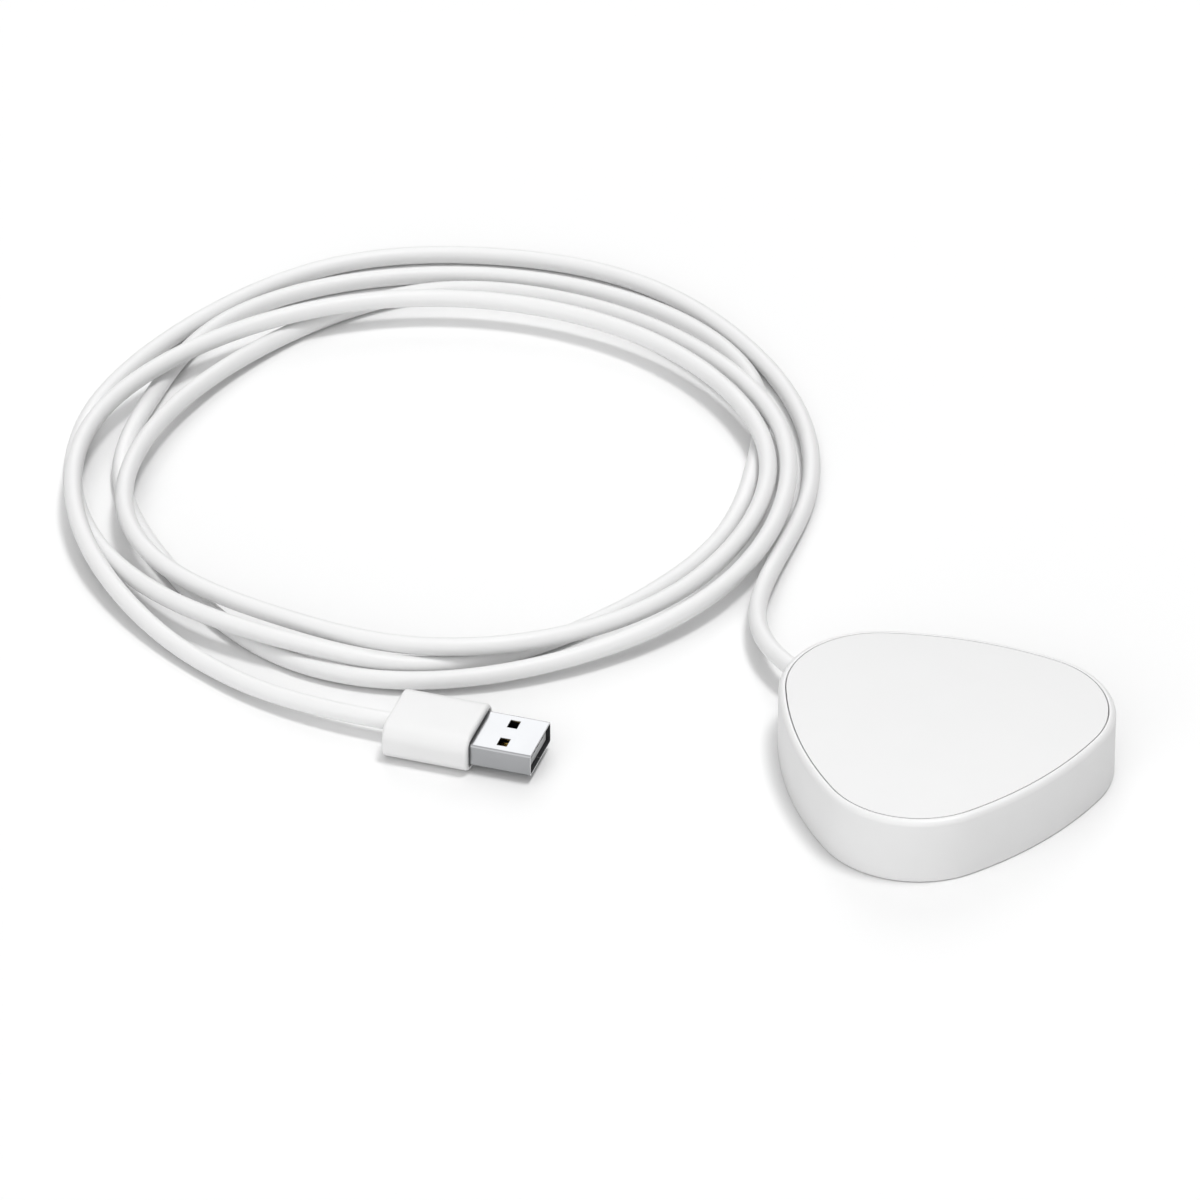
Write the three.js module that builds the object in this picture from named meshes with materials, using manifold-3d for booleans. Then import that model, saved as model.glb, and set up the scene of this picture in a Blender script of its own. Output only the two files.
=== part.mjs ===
// Wireless charging pad: a rounded-triangle puck, a captive round cord and a USB-A plug.
// Millimetres, +Z up. The origin is the middle of the pad's footprint, on the surface that it stands on.
// The cord leaves the pad towards +Y, out of one corner, and lies beside it in loose loops.

import * as THREE from "three";
import { mergeVertices } from "three/addons/utils/BufferGeometryUtils.js";
import { NURBSCurve } from "three/addons/curves/NURBSCurve.js";
import Module from "manifold-3d";

const wasm = await Module();
wasm.setup();

// ---------------------------------------------------------------- driving dimensions

const THIRD_TURN = (2 * Math.PI) / 3;

// Plan of the pad: three corner arcs joined by three flatter side arcs, all tangent.
const CORNER_RADIUS = 19;
const CORNER_OFFSET = 14.5; // from the middle of the triangle to the centre of a corner arc
const SIDE_RADIUS = 73;
const CORNER_STEPS = 10;
const SIDE_STEPS = 4;

// Heights in the pad, from the surface up.
const PAD_TOP = 13.4;
const SKIRT = 0.1; // the housing and the base stop this far above the surface
const SKIRT_CHAMFER = 0.3;
const FOOT_TOP = 0.75;
const FOOT_RECESS_TOP = 0.9;
const BASE_TOP = 2.1;
const REBATE_TOP = 2.4;
const BOARD_BOTTOM = 3.75;
const BOARD_THICKNESS = 1;
const CORD_HEIGHT = 6; // middle of the cord where it leaves the wall
const CARRIER_BOTTOM = 8.2;
const CARRIER_FLOOR = 8.9;
const CARRIER_TOP = 11.4;
const LEDGE_BOTTOM = 10.4;
const LEDGE_SLOPE = 0.4; // rise of the ledge's underside from the wall to its edge
const LEDGE_TOP = 11.6;

// How far each wall line lies inside the outer outline.
const RIM_FILLET = 1.15;
const RIM_INSET = 1.3;
const PLATE_INSET = 1.5;
const PLATE_CHAMFER = 0.15;
const WALL_INSET = 1.8;
const REBATE_INSET = 1.2;
const BASE_INSET = 1.5;
const BASE_CHAMFER = 0.4;
const LEDGE_INSET = 3.3;
const CARRIER_INSET = 3.7;
const FOOT_INSET = 2.7;
const FOOT_CHAMFER = 0.3;
const FOOT_RECESS_INSET = 2.4;

const SEAT = 0.05; // left between faces that rest on each other
const RUN = 0.3; // left round pieces that pass through a hole or a wall
const THREAD_ROOM = 0.2; // left round a screw's shank in its own hole
const SINK = 0.5; // how far a joined block reaches into the plate that it stands on
const PAST = 1; // how far a cutting shape runs past the face that it cuts

// Screwed joints. The three base screws lie under the foot pad.
const PILLAR_RADIUS = 2.4;
const PILLAR_INSET = 4.8;
const PILLAR_BOTTOM = 4.4;
const PILOT_TOP = 9;
const BOSS_RADIUS = 2.7;
const POST_PILOT_BOTTOM = 2.2; // the holes in the board posts and the saddle stop this far up
const BASE_SCREW = { headRadius: 1.8, headHeight: 1, shankRadius: 0.8, shankLength: 5.8 };
const BOARD_SCREW = { headRadius: 1.6, headHeight: 0.9, shankRadius: 0.7, shankLength: 2.2 };
const CLAMP_SCREW = { headRadius: 1.4, headHeight: 0.9, shankRadius: 0.7, shankLength: 3 };

// Coil stack.
const COIL_POCKET_RADIUS = 19;
const COIL_RADIUS = 18.2;
const COIL_EYE_RADIUS = 8;
const COIL_THICKNESS = 1.3;
const FERRITE_RADIUS = 18.6;
const FERRITE_THICKNESS = 0.8;
const POST_RADIUS = 3;
const POST_SHORTFALL = 0.3; // the post in the coil's eye stops this far below the carrier's top
const MAGNET_RADIUS = 4;
const MAGNET_HEIGHT = 2;
const MAGNET_REACH = 24.6;
const MAGNET_ROOM = 0.1; // left over and under each magnet in its pocket
const LEAD_RADIUS = 0.5;
const LEAD_SLOT = { x: 6.7, y: -18.5, radius: 1.1 };

// The strap over the cord, on its saddle: places along Y and heights.
const CLAMP = {
  halfWidth: 6.5,
  near: 24.2,
  middle: 26.2,
  far: 28.2,
  saddleTop: 4,
  bottom: 4.1,
  top: 8.5,
  relief: 8.7, // roof of the hollow that the coil carrier leaves over the strap
  earX: 3.4,
  earTop: 5.6,
  screwX: 5,
};

// Circuit board and what stands on it: places and sizes in plan, then height.
const BOARD = { x: 0, y: -1, width: 30, depth: 24, corner: 1.5, postRadius: 2 };
const BOARD_SCREWS = [
  [-12.5, 8.5],
  [12.5, -10.5],
];

const CHIP = { corner: 0.2, chamfer: 0.1 };
const RESONANT_CAPACITORS = { count: 4, x: -4.5, step: 3, y: -7.5, width: 2.5, depth: 3.2, height: 1.7 };
const INPUT_CAPACITOR = { x: 11.2, y: 7.4, radius: 2.4, height: 2.7, shoulder: 0.2 };
const SOCKET = { halfWidth: 4, back: 6.2, front: 10.4, top: 7.7, wall: 0.6, mouthBack: 8.4 };

// The bush in the wall round the cord, flush with the corner outside.
const CORD_HOLE_RADIUS = 2.7;
const GROMMET = { flangeRadius: 3.5, flangeBack: 30.1, flangeFront: 31.2, sleeveRadius: 2.5, flush: 0.15 };

// Cord and plug. Along the plug, x = 0 is the grip's front face and the tip is at +x.
const CORD_RADIUS = 1.75;
const CORD_SIDES = 8;
const CORD_STEPS = 80;
const JACKET_END = 22; // inside the pad, the jacket stops here and the four wires go on
const WIRE_RADIUS = 0.4;
const WIRE_SPREAD = 0.65; // of the four wires about the cord's middle line
const WIRE_PITCH = 1.6; // in the socket
const WIRE_END_HEIGHT = 6.3;
const PLUG_HEADING = THREE.MathUtils.degToRad(-62);
const PLUG_FRONT = [-55.3, 61]; // middle of the moulded grip's front face, in plan
const GRIP = {
  length: 16.7,
  width: 15.6,
  thickness: 7.8,
  sideRadius: 3.2,
  backRadius: 0.6,
  frontRadius: 0.7,
};
const GRIP_POCKET = { back: -13.5, room: 0.45 }; // room: left round the shell
const USB = { width: 12, thickness: 4.5, wall: 0.3, corner: 0.5, edge: 0.1, reach: 11.8, depth: 6 };
const USB_WINDOW = { along: 1.9, across: 2.5, middle: 5.65, spread: 3 };
const PLUG_CORE = { back: -13.2, front: -6.3, halfWidth: 5.8, halfThickness: 2.2 };
const TONGUE = { back: -5.7, front: 11, halfWidth: 5.55, bottom: -1.8, top: 0 };
const CONTACT = { back: -5, front: 10.2, halfWidth: 0.5, lift: 0.08, top: 0.3, places: [-3.5, -1, 1, 3.5] };

// Control points of the cord's smooth curve between its two straight ends: x, y and height.
// The first loop lies on the surface, and later loops hump over earlier ones where they cross.
const LOOPS = [
  [20.5, 64, 2.5],
  [47.5, 75.5, 1.8],
  [68.5, 98.5, 1.8],
  [79, 128.5, 1.8],
  [79.5, 159.5, 1.8],
  [63, 186, 1.8],
  [40, 205, 1.8],
  [6.5, 207.5, 1.8],
  [-28, 200.5, 1.8],
  [-50, 183, 1.8],
  [-64, 160, 2.4],
  [-70, 129.5, 6.2],
  [-60, 102.5, 5.9],
  [-44.5, 81.5, 1.8],
  [-11, 74, 1.8],
  [24.5, 76, 1.8],
  [50, 94, 1.8],
  [72.5, 113.5, 1.8],
  [76, 147.5, 1.8],
  [60, 180, 1.8],
  [32.5, 200, 1.8],
  [5, 204.5, 1.8],
  [-18.5, 192.5, 1.8],
  [-45.5, 177.5, 1.8],
  [-58.5, 143.5, 1.8],
  [-65.5, 110.5, 1.8],
  [-53.5, 84.5, 2.2],
  [-27.1, 67.3, 3.4],
  [7.2, 60.6, 5],
  [38.6, 73, 5.8],
  [62, 97.5, 6],
  [68.5, 136.5, 4.1],
  [61.5, 166.5, 1.8],
  [45.5, 186, 1.8],
  [12, 192, 1.8],
  [-26.5, 184, 4.4],
  [-54.5, 165, 6],
  [-64, 140.5, 5.9],
  [-57.5, 113.5, 6],
  [-48.5, 88, 6.3],
  [-24, 70.5, 5.8],
  [7.5, 66, 5],
  [42, 79.5, 5.8],
  [59.5, 104.5, 5.5],
  [63, 139, 5.4],
  [49, 169.5, 5.5],
  [23.5, 190, 5.9],
  [-12, 197, 5.8],
  [-43.5, 188.5, 6.4],
  [-65, 164.5, 6],
  [-73.5, 138.5, 3.3],
  [-75, 115, 1.8],
];
const LEAD_OUT = 16.5; // straight stretch out of the pad
const LEAD_OUT_DROP = 0.2;
const LEAD_IN = 20; // straight stretch into the plug
const LEAD_IN_RISE = 0.5;

// ---------------------------------------------------------------- worked-out dimensions

const SIDE_OFFSET = sideCentreDistance();
const TIP = CORNER_OFFSET + CORNER_RADIUS;
const SIDE_MIDDLE = SIDE_RADIUS - SIDE_OFFSET;
const PAD_SHIFT = (SIDE_MIDDLE - TIP) / 2; // brings the middle of the footprint to the origin
const BOARD_TOP = BOARD_BOTTOM + BOARD_THICKNESS;
const PARTS_BOTTOM = BOARD_TOP + SEAT;
const PILLAR_REACH = SIDE_MIDDLE - PILLAR_INSET;
const GROMMET_END = TIP - GROMMET.flush;

// Distance from the middle of the triangle to the centre of a side arc that touches its two corner arcs.
function sideCentreDistance() {
  const reach = SIDE_RADIUS - CORNER_RADIUS;
  const spread = CORNER_OFFSET ** 2 - 4 * (CORNER_OFFSET ** 2 - reach ** 2);
  return (Math.sqrt(spread) - CORNER_OFFSET) / 2;
}

// ---------------------------------------------------------------- materials

function material(color, roughness, metalness = 0) {
  return new THREE.MeshStandardMaterial({ color, roughness, metalness });
}

const MATERIALS = {
  housing: material("#f2f2f2", 0.45),
  plate: material("#eeeeee", 0.6),
  silicone: material("#e4e4e2", 0.8),
  jacket: material("#f4f4f4", 0.5),
  innerPlastic: material("#d8d8d4", 0.6),
  shell: material("#c9ccd0", 0.25, 1),
  contact: material("#d8b465", 0.3, 1),
  steel: material("#a9adb2", 0.35, 1),
  copper: material("#b87342", 0.4, 1),
  ferrite: material("#2f3032", 0.7),
  magnet: material("#b9bcc0", 0.3, 1),
  board: material("#1f5a3a", 0.5),
  chip: material("#1b1c1e", 0.55),
  ceramic: material("#9a7f62", 0.5),
  wireRed: material("#b5322c", 0.5),
  wireBlack: material("#222222", 0.5),
  wireGreen: material("#2f7d4b", 0.5),
  wireWhite: material("#e8e8e6", 0.5),
};

// ---------------------------------------------------------------- shape helpers

// Points along an arc with the outward direction at each, the last one left out.
function arcStations(centreX, centreY, radius, from, to, steps) {
  const stations = [];
  for (let i = 0; i < steps; i++) {
    const angle = from + ((to - from) * i) / steps;
    const outX = Math.cos(angle);
    const outY = Math.sin(angle);
    stations.push({ x: centreX + radius * outX, y: centreY + radius * outY, outX, outY });
  }
  return stations;
}

// The pad's outline, anticlockwise, starting beside the corner that the cord leaves.
function padOutline() {
  const half = Math.atan2(SIDE_OFFSET * Math.sin(THIRD_TURN / 2), CORNER_OFFSET + SIDE_OFFSET / 2);
  const stations = [];
  for (let corner = 0; corner < 3; corner++) {
    const middle = Math.PI / 2 + corner * THIRD_TURN;
    const side = middle + THIRD_TURN / 2;
    const cornerX = CORNER_OFFSET * Math.cos(middle);
    const cornerY = CORNER_OFFSET * Math.sin(middle);
    const sideX = -SIDE_OFFSET * Math.cos(side);
    const sideY = -SIDE_OFFSET * Math.sin(side);
    const cornerEnd = middle + half;
    const sideEnd = middle + THIRD_TURN - half;
    stations.push(...arcStations(cornerX, cornerY, CORNER_RADIUS, middle - half, cornerEnd, CORNER_STEPS));
    stations.push(...arcStations(sideX, sideY, SIDE_RADIUS, cornerEnd, sideEnd, SIDE_STEPS));
  }
  return stations;
}

// A rectangle with round corners, anticlockwise.
function roundedRectangle(width, depth, radius, steps) {
  const stations = [];
  const x = width / 2 - radius;
  const y = depth / 2 - radius;
  const centres = [
    [x, y],
    [-x, y],
    [-x, -y],
    [x, -y],
  ];
  centres.forEach(([centreX, centreY], quarter) => {
    const from = (quarter * Math.PI) / 2;
    const corner = arcStations(centreX, centreY, radius, from, from + Math.PI / 2, steps);
    const end = from + Math.PI / 2;
    const outX = Math.cos(end);
    const outY = Math.sin(end);
    corner.push({ x: centreX + radius * outX, y: centreY + radius * outY, outX, outY });
    stations.push(...corner);
  });
  return stations;
}

// Rings of the outline at each [inset, z] of a profile that runs up the outside.
// An open profile gets a cap at each end; a closed one makes a hollow ring.
function sweepOutline(stations, profile, closed) {
  const positions = [];
  for (const [inset, z] of profile) {
    for (const s of stations) {
      positions.push(s.x - s.outX * inset, s.y - s.outY * inset, z);
    }
  }
  const count = stations.length;
  const index = [];
  const bands = closed ? profile.length : profile.length - 1;
  for (let j = 0; j < bands; j++) {
    const low = j * count;
    const high = ((j + 1) % profile.length) * count;
    for (let i = 0; i < count; i++) {
      const next = (i + 1) % count;
      index.push(low + i, low + next, high + next);
      index.push(low + i, high + next, high + i);
    }
  }
  if (!closed) {
    const bottom = positions.length / 3;
    const top = bottom + 1;
    const last = (profile.length - 1) * count;
    positions.push(0, 0, profile[0][1], 0, 0, profile[profile.length - 1][1]);
    for (let i = 0; i < count; i++) {
      const next = (i + 1) % count;
      index.push(bottom, next, i);
      index.push(top, last + i, last + next);
    }
  }
  const geometry = new THREE.BufferGeometry();
  geometry.setAttribute("position", new THREE.Float32BufferAttribute(positions, 3));
  geometry.setIndex(index);
  return geometry;
}

// Points of a quarter-round edge as [inset, z], from the wall to the flat above it (up = 1) or back down.
function quarterRound(radius, z, up, steps) {
  const points = [];
  for (let i = 0; i <= steps; i++) {
    const angle = ((up > 0 ? i : steps - i) / steps) * (Math.PI / 2);
    points.push([radius * (1 - Math.cos(angle)), z + up * radius * (Math.sin(angle) - 1)]);
  }
  return points;
}

function block(x0, x1, y0, y1, z0, z1) {
  const geometry = new THREE.BoxGeometry(x1 - x0, y1 - y0, z1 - z0);
  return geometry.translate((x0 + x1) / 2, (y0 + y1) / 2, (z0 + z1) / 2);
}

// An upright cylinder.
function rod(radius, z0, z1, x = 0, y = 0, sides = 24) {
  const geometry = new THREE.CylinderGeometry(radius, radius, z1 - z0, sides);
  return geometry.rotateX(Math.PI / 2).translate(x, y, (z0 + z1) / 2);
}

// A cylinder that lies along Y at the cord's height.
function barrel(radius, y0, y1, sides = 24) {
  const geometry = new THREE.CylinderGeometry(radius, radius, y1 - y0, sides);
  return geometry.translate(0, (y0 + y1) / 2, CORD_HEIGHT);
}

// A turned shape from [radius, z] points that run up the outside.
function turned(profile, sides = 32) {
  const points = profile.map(([radius, z]) => new THREE.Vector2(radius, z));
  return new THREE.LatheGeometry(points, sides).rotateX(Math.PI / 2);
}

// A flat ring with a rectangular section.
function washer(inner, outer, z0, z1, sides = 40) {
  const corners = [
    [inner, z0],
    [outer, z0],
    [outer, z1],
    [inner, z1],
    [inner, z0],
  ];
  return turned(corners, sides);
}

// A round tube along a curve, closed at both ends.
function tube(curve, radius, sides, steps) {
  const section = new THREE.Shape();
  for (let i = 0; i < sides; i++) {
    const angle = ((i + 0.5) * 2 * Math.PI) / sides;
    const x = radius * Math.cos(angle);
    const y = radius * Math.sin(angle);
    if (i === 0) section.moveTo(x, y);
    else section.lineTo(x, y);
  }
  section.closePath();
  return new THREE.ExtrudeGeometry(section, { steps, extrudePath: curve, bevelEnabled: false });
}

function curveThrough(points) {
  return new THREE.CatmullRomCurve3(points.map((p) => new THREE.Vector3(...p)));
}

// ---------------------------------------------------------------- joining and cutting

function toSolid(geometry) {
  const bare = geometry.clone();
  bare.deleteAttribute("normal");
  bare.deleteAttribute("uv");
  const merged = mergeVertices(bare, 1e-4);
  const mesh = new wasm.Mesh({
    numProp: 3,
    vertProperties: new Float32Array(merged.attributes.position.array),
    triVerts: new Uint32Array(merged.index.array),
  });
  return new wasm.Manifold(mesh);
}

function toGeometry(solid) {
  const mesh = solid.getMesh();
  const geometry = new THREE.BufferGeometry();
  geometry.setAttribute("position", new THREE.BufferAttribute(mesh.vertProperties.slice(), 3));
  geometry.setIndex(new THREE.BufferAttribute(mesh.triVerts.slice(), 1));
  geometry.computeVertexNormals();
  return geometry;
}

// Joins the first list of geometries, then cuts the second list out.
function build(joined, cut = []) {
  const whole = joined.map(toSolid).reduce((a, b) => a.add(b));
  const result = cut.map(toSolid).reduce((a, b) => a.subtract(b), whole);
  return toGeometry(result);
}

function addPiece(group, name, geometry, finish) {
  const mesh = new THREE.Mesh(geometry, finish);
  mesh.name = name;
  group.add(mesh);
  return mesh;
}

// A pan-head screw with a cross recess: its shank points down from the origin, its head stands above it.
function screwGeometry({ headRadius, headHeight, shankRadius, shankLength }) {
  const body = turned(
    [
      [0, -shankLength],
      [shankRadius * 0.6, -shankLength],
      [shankRadius, -shankLength + shankRadius],
      [shankRadius, 0],
      [headRadius, 0],
      [headRadius, headHeight * 0.5],
      [headRadius * 0.7, headHeight],
      [0, headHeight],
    ],
    16,
  );
  const arm = headRadius * 0.5;
  const slot = headRadius * 0.12;
  const floor = headHeight * 0.45;
  const roof = headHeight + 0.1;
  const recess = [block(-arm, arm, -slot, slot, floor, roof), block(-slot, slot, -arm, arm, floor, roof)];
  return build([body], recess);
}

// ---------------------------------------------------------------- pad: casing

const OUTLINE = padOutline();

// Plan positions, one for each side of the triangle, where the base is screwed to the housing.
const PILLARS = [0, 1, 2].map((side) => {
  const angle = Math.PI / 2 + (side + 0.5) * THIRD_TURN;
  return [PILLAR_REACH * Math.cos(angle), PILLAR_REACH * Math.sin(angle)];
});

const CORNERS = [0, 1, 2].map((corner) => Math.PI / 2 + corner * THIRD_TURN);

// The one-piece wall and rim, with the ledge that carries the plate and the three screw pillars.
function housingGeometry() {
  const profile = [
    [REBATE_INSET, SKIRT],
    [SKIRT_CHAMFER, SKIRT],
    [0, SKIRT + SKIRT_CHAMFER],
    ...quarterRound(RIM_FILLET, PAD_TOP, 1, 5),
    [RIM_INSET, PAD_TOP],
    [RIM_INSET, LEDGE_TOP],
    [LEDGE_INSET, LEDGE_TOP],
    [LEDGE_INSET, LEDGE_BOTTOM + LEDGE_SLOPE],
    [WALL_INSET, LEDGE_BOTTOM],
    [WALL_INSET, REBATE_TOP],
    [REBATE_INSET, REBATE_TOP],
  ];
  const wall = sweepOutline(OUTLINE, profile, true);
  const pilotRadius = BASE_SCREW.shankRadius + THREAD_ROOM;
  const pillars = PILLARS.map(([x, y]) => rod(PILLAR_RADIUS, PILLAR_BOTTOM, LEDGE_BOTTOM + SINK, x, y));
  const pilots = PILLARS.map(([x, y]) => rod(pilotRadius, PILLAR_BOTTOM - PAST, PILOT_TOP, x, y, 16));
  const cordHole = barrel(CORD_HOLE_RADIUS, TIP - WALL_INSET - PAST, TIP + PAST);
  return build([wall, ...pillars], [...pilots, cordHole]);
}

function topPlateGeometry() {
  const profile = [
    [PLATE_INSET, LEDGE_TOP + SEAT],
    [PLATE_INSET, PAD_TOP - PLATE_CHAMFER],
    [PLATE_INSET + PLATE_CHAMFER, PAD_TOP],
  ];
  return sweepOutline(OUTLINE, profile, false);
}

// The base plate, with its screw bosses, board posts, the saddle under the cord and the recess for the foot.
function baseCoverGeometry() {
  const plate = sweepOutline(
    OUTLINE,
    [
      [BASE_INSET + BASE_CHAMFER, SKIRT],
      [BASE_INSET, SKIRT + BASE_CHAMFER],
      [BASE_INSET, BASE_TOP],
    ],
    false,
  );
  const recess = sweepOutline(
    OUTLINE,
    [
      [FOOT_RECESS_INSET, 0],
      [FOOT_RECESS_INSET, FOOT_RECESS_TOP],
    ],
    false,
  );
  const { halfWidth, near, far, saddleTop, screwX, middle } = CLAMP;
  const root = BASE_TOP - SINK;
  const headTop = BASE_TOP + 2 * SEAT;
  const bosses = PILLARS.map(([x, y]) => rod(BOSS_RADIUS, root, PILLAR_BOTTOM - RUN, x, y));
  const posts = BOARD_SCREWS.map(([x, y]) => rod(BOARD.postRadius, root, BOARD_BOTTOM - SEAT, x, y, 20));
  const saddle = block(-halfWidth, halfWidth, near, far, root, saddleTop);
  const shankHoleRadius = BASE_SCREW.shankRadius + RUN;
  const shankHoles = PILLARS.map(([x, y]) => rod(shankHoleRadius, 0, PILLAR_BOTTOM + PAST, x, y, 16));
  const headHoles = PILLARS.map(([x, y]) => rod(BASE_SCREW.headRadius + THREAD_ROOM, 0, headTop, x, y));
  const postPilotRadius = BOARD_SCREW.shankRadius + THREAD_ROOM;
  const postPilots = BOARD_SCREWS.map(([x, y]) =>
    rod(postPilotRadius, POST_PILOT_BOTTOM, BOARD_TOP, x, y, 16),
  );
  const clampPilotRadius = CLAMP_SCREW.shankRadius + THREAD_ROOM;
  const clampPilots = [-1, 1].map((side) =>
    rod(clampPilotRadius, POST_PILOT_BOTTOM, saddleTop + PAST, side * screwX, middle, 16),
  );
  return build(
    [plate, ...bosses, ...posts, saddle],
    [recess, ...shankHoles, ...headHoles, ...postPilots, ...clampPilots],
  );
}

function footGeometry() {
  const profile = [
    [FOOT_INSET + FOOT_CHAMFER, 0],
    [FOOT_INSET, FOOT_CHAMFER],
    [FOOT_INSET, FOOT_TOP],
  ];
  return sweepOutline(OUTLINE, profile, false);
}

// ---------------------------------------------------------------- pad: coil stack

// Plan positions where the coil's two ends drop through the carrier to the board.
const LEAD_SLOTS = [-1, 1].map((side) => [side * LEAD_SLOT.x, LEAD_SLOT.y]);

const MAGNETS = CORNERS.map((angle) => [MAGNET_REACH * Math.cos(angle), MAGNET_REACH * Math.sin(angle)]);

function carrierGeometry() {
  const tray = sweepOutline(
    OUTLINE,
    [
      [CARRIER_INSET, CARRIER_BOTTOM],
      [CARRIER_INSET, CARRIER_TOP],
    ],
    false,
  );
  const below = CARRIER_BOTTOM - PAST;
  const above = CARRIER_TOP + PAST;
  const magnetFloor = CARRIER_TOP - MAGNET_HEIGHT - 2 * MAGNET_ROOM;
  const coilPocket = washer(POST_RADIUS, COIL_POCKET_RADIUS, CARRIER_FLOOR, above, 48);
  const postTop = rod(POST_RADIUS + PAST, CARRIER_TOP - POST_SHORTFALL, above);
  const magnetPockets = MAGNETS.map(([x, y]) => rod(MAGNET_RADIUS + RUN, magnetFloor, above, x, y));
  const notches = PILLARS.map(([x, y]) => rod(PILLAR_RADIUS + RUN, below, above, x, y));
  const slots = LEAD_SLOTS.map(([x, y]) => rod(LEAD_SLOT.radius, below, above, x, y, 16));
  const reliefHalf = CLAMP.halfWidth + RUN;
  const relief = block(-reliefHalf, reliefHalf, CLAMP.near - RUN, TIP, below, CLAMP.relief);
  return build([tray], [coilPocket, postTop, relief, ...magnetPockets, ...notches, ...slots]);
}

// One end of the coil's winding, from its outer turn down to a pad on the board.
function coilLeadGeometry([x, y]) {
  const outer = (COIL_RADIUS + LEAD_RADIUS + RUN) / Math.hypot(x, y);
  const curve = curveThrough([
    [x * outer, y * outer, 10.6],
    [x, y, 9.6],
    [x, y + 0.2, 7.6],
    [x, y + 3.5, 6],
    [x, y + 6, PARTS_BOTTOM + LEAD_RADIUS + SEAT],
  ]);
  return tube(curve, LEAD_RADIUS, 6, 10);
}

function addCoilStack(pad) {
  addPiece(pad, "coil_carrier", carrierGeometry(), MATERIALS.innerPlastic);
  const ferriteBottom = CARRIER_FLOOR + SEAT;
  const ferriteTop = ferriteBottom + FERRITE_THICKNESS;
  const ferrite = washer(POST_RADIUS + RUN, FERRITE_RADIUS, ferriteBottom, ferriteTop);
  addPiece(pad, "ferrite_shield", ferrite, MATERIALS.ferrite);
  const coilBottom = ferriteTop + SEAT;
  const coil = washer(COIL_EYE_RADIUS, COIL_RADIUS, coilBottom, coilBottom + COIL_THICKNESS, 48);
  addPiece(pad, "charging_coil", coil, MATERIALS.copper);
  MAGNETS.forEach(([x, y], i) => {
    const top = CARRIER_TOP - MAGNET_ROOM;
    addPiece(pad, "magnet_" + (i + 1), rod(MAGNET_RADIUS, top - MAGNET_HEIGHT, top, x, y), MATERIALS.magnet);
  });
  LEAD_SLOTS.forEach((slot, i) => {
    addPiece(pad, "coil_lead_" + (i + 1), coilLeadGeometry(slot), MATERIALS.copper);
  });
}

// ---------------------------------------------------------------- pad: circuit board

function boardGeometry() {
  const outline = roundedRectangle(BOARD.width, BOARD.depth, BOARD.corner, 3);
  const profile = [
    [0, BOARD_BOTTOM],
    [0, BOARD_TOP],
  ];
  const plate = sweepOutline(outline, profile, false).translate(BOARD.x, BOARD.y, 0);
  const holeRadius = BOARD_SCREW.shankRadius + RUN;
  const holes = BOARD_SCREWS.map(([x, y]) =>
    rod(holeRadius, BOARD_BOTTOM - PAST, BOARD_TOP + PAST, x, y, 16),
  );
  return build([plate], holes);
}

// The flat packages: middle in plan, then width, depth and height.
const CHIPS = [
  { name: "controller_chip", at: [-3, -0.5], size: [6, 6, 0.9], finish: MATERIALS.chip },
  { name: "driver_chip_1", at: [5, -2.5], size: [5, 4, 1], finish: MATERIALS.chip },
  { name: "driver_chip_2", at: [5, 2.5], size: [5, 4, 1], finish: MATERIALS.chip },
  { name: "power_inductor", at: [-10.5, 2.5], size: [5.6, 5.6, 2.6], finish: MATERIALS.ferrite },
  { name: "crystal", at: [-9.5, -4], size: [3.2, 2.5, 0.8], finish: MATERIALS.steel },
  { name: "thermistor", at: [-8.5, -10], size: [2, 1.25, 0.8], finish: MATERIALS.chip },
];

// A flat package on the board, its corners eased.
function chipGeometry(x, y, width, depth, height) {
  const outline = roundedRectangle(width, depth, CHIP.corner, 2);
  const profile = [
    [0, PARTS_BOTTOM],
    [0, PARTS_BOTTOM + height - CHIP.chamfer],
    [CHIP.chamfer, PARTS_BOTTOM + height],
  ];
  return sweepOutline(outline, profile, false).translate(x, y, 0);
}

// The socket that the cord's four wires plug into, open towards the cord.
function socketGeometry() {
  const { halfWidth, back, front, top, wall, mouthBack } = SOCKET;
  const mouthHalf = halfWidth - wall;
  const body = block(-halfWidth, halfWidth, back, front, PARTS_BOTTOM, top);
  const mouth = block(-mouthHalf, mouthHalf, mouthBack, front + PAST, PARTS_BOTTOM + wall, top - wall);
  return build([body], [mouth]);
}

// The small aluminium can that smooths the supply.
function canGeometry() {
  const { x, y, radius, height, shoulder } = INPUT_CAPACITOR;
  const top = PARTS_BOTTOM + height;
  const profile = [
    [0, PARTS_BOTTOM],
    [radius, PARTS_BOTTOM],
    [radius, top - shoulder],
    [radius - shoulder, top],
    [0, top],
  ];
  return turned(profile, 20).translate(x, y, 0);
}

function addBoard(pad) {
  addPiece(pad, "circuit_board", boardGeometry(), MATERIALS.board);
  for (const { name, at, size, finish } of CHIPS) {
    addPiece(pad, name, chipGeometry(...at, ...size), finish);
  }
  const { count, x, step, y, width, depth, height } = RESONANT_CAPACITORS;
  for (let i = 0; i < count; i++) {
    const capacitor = chipGeometry(x + step * i, y, width, depth, height);
    addPiece(pad, "resonant_capacitor_" + (i + 1), capacitor, MATERIALS.ceramic);
  }
  addPiece(pad, "input_capacitor", canGeometry(), MATERIALS.steel);
  addPiece(pad, "wire_socket", socketGeometry(), MATERIALS.innerPlastic);
  BOARD_SCREWS.forEach(([screwX, screwY], i) => {
    const screw = screwGeometry(BOARD_SCREW).translate(screwX, screwY, PARTS_BOTTOM);
    addPiece(pad, "board_screw_" + (i + 1), screw, MATERIALS.steel);
  });
}

// ---------------------------------------------------------------- pad: cord entry

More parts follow.
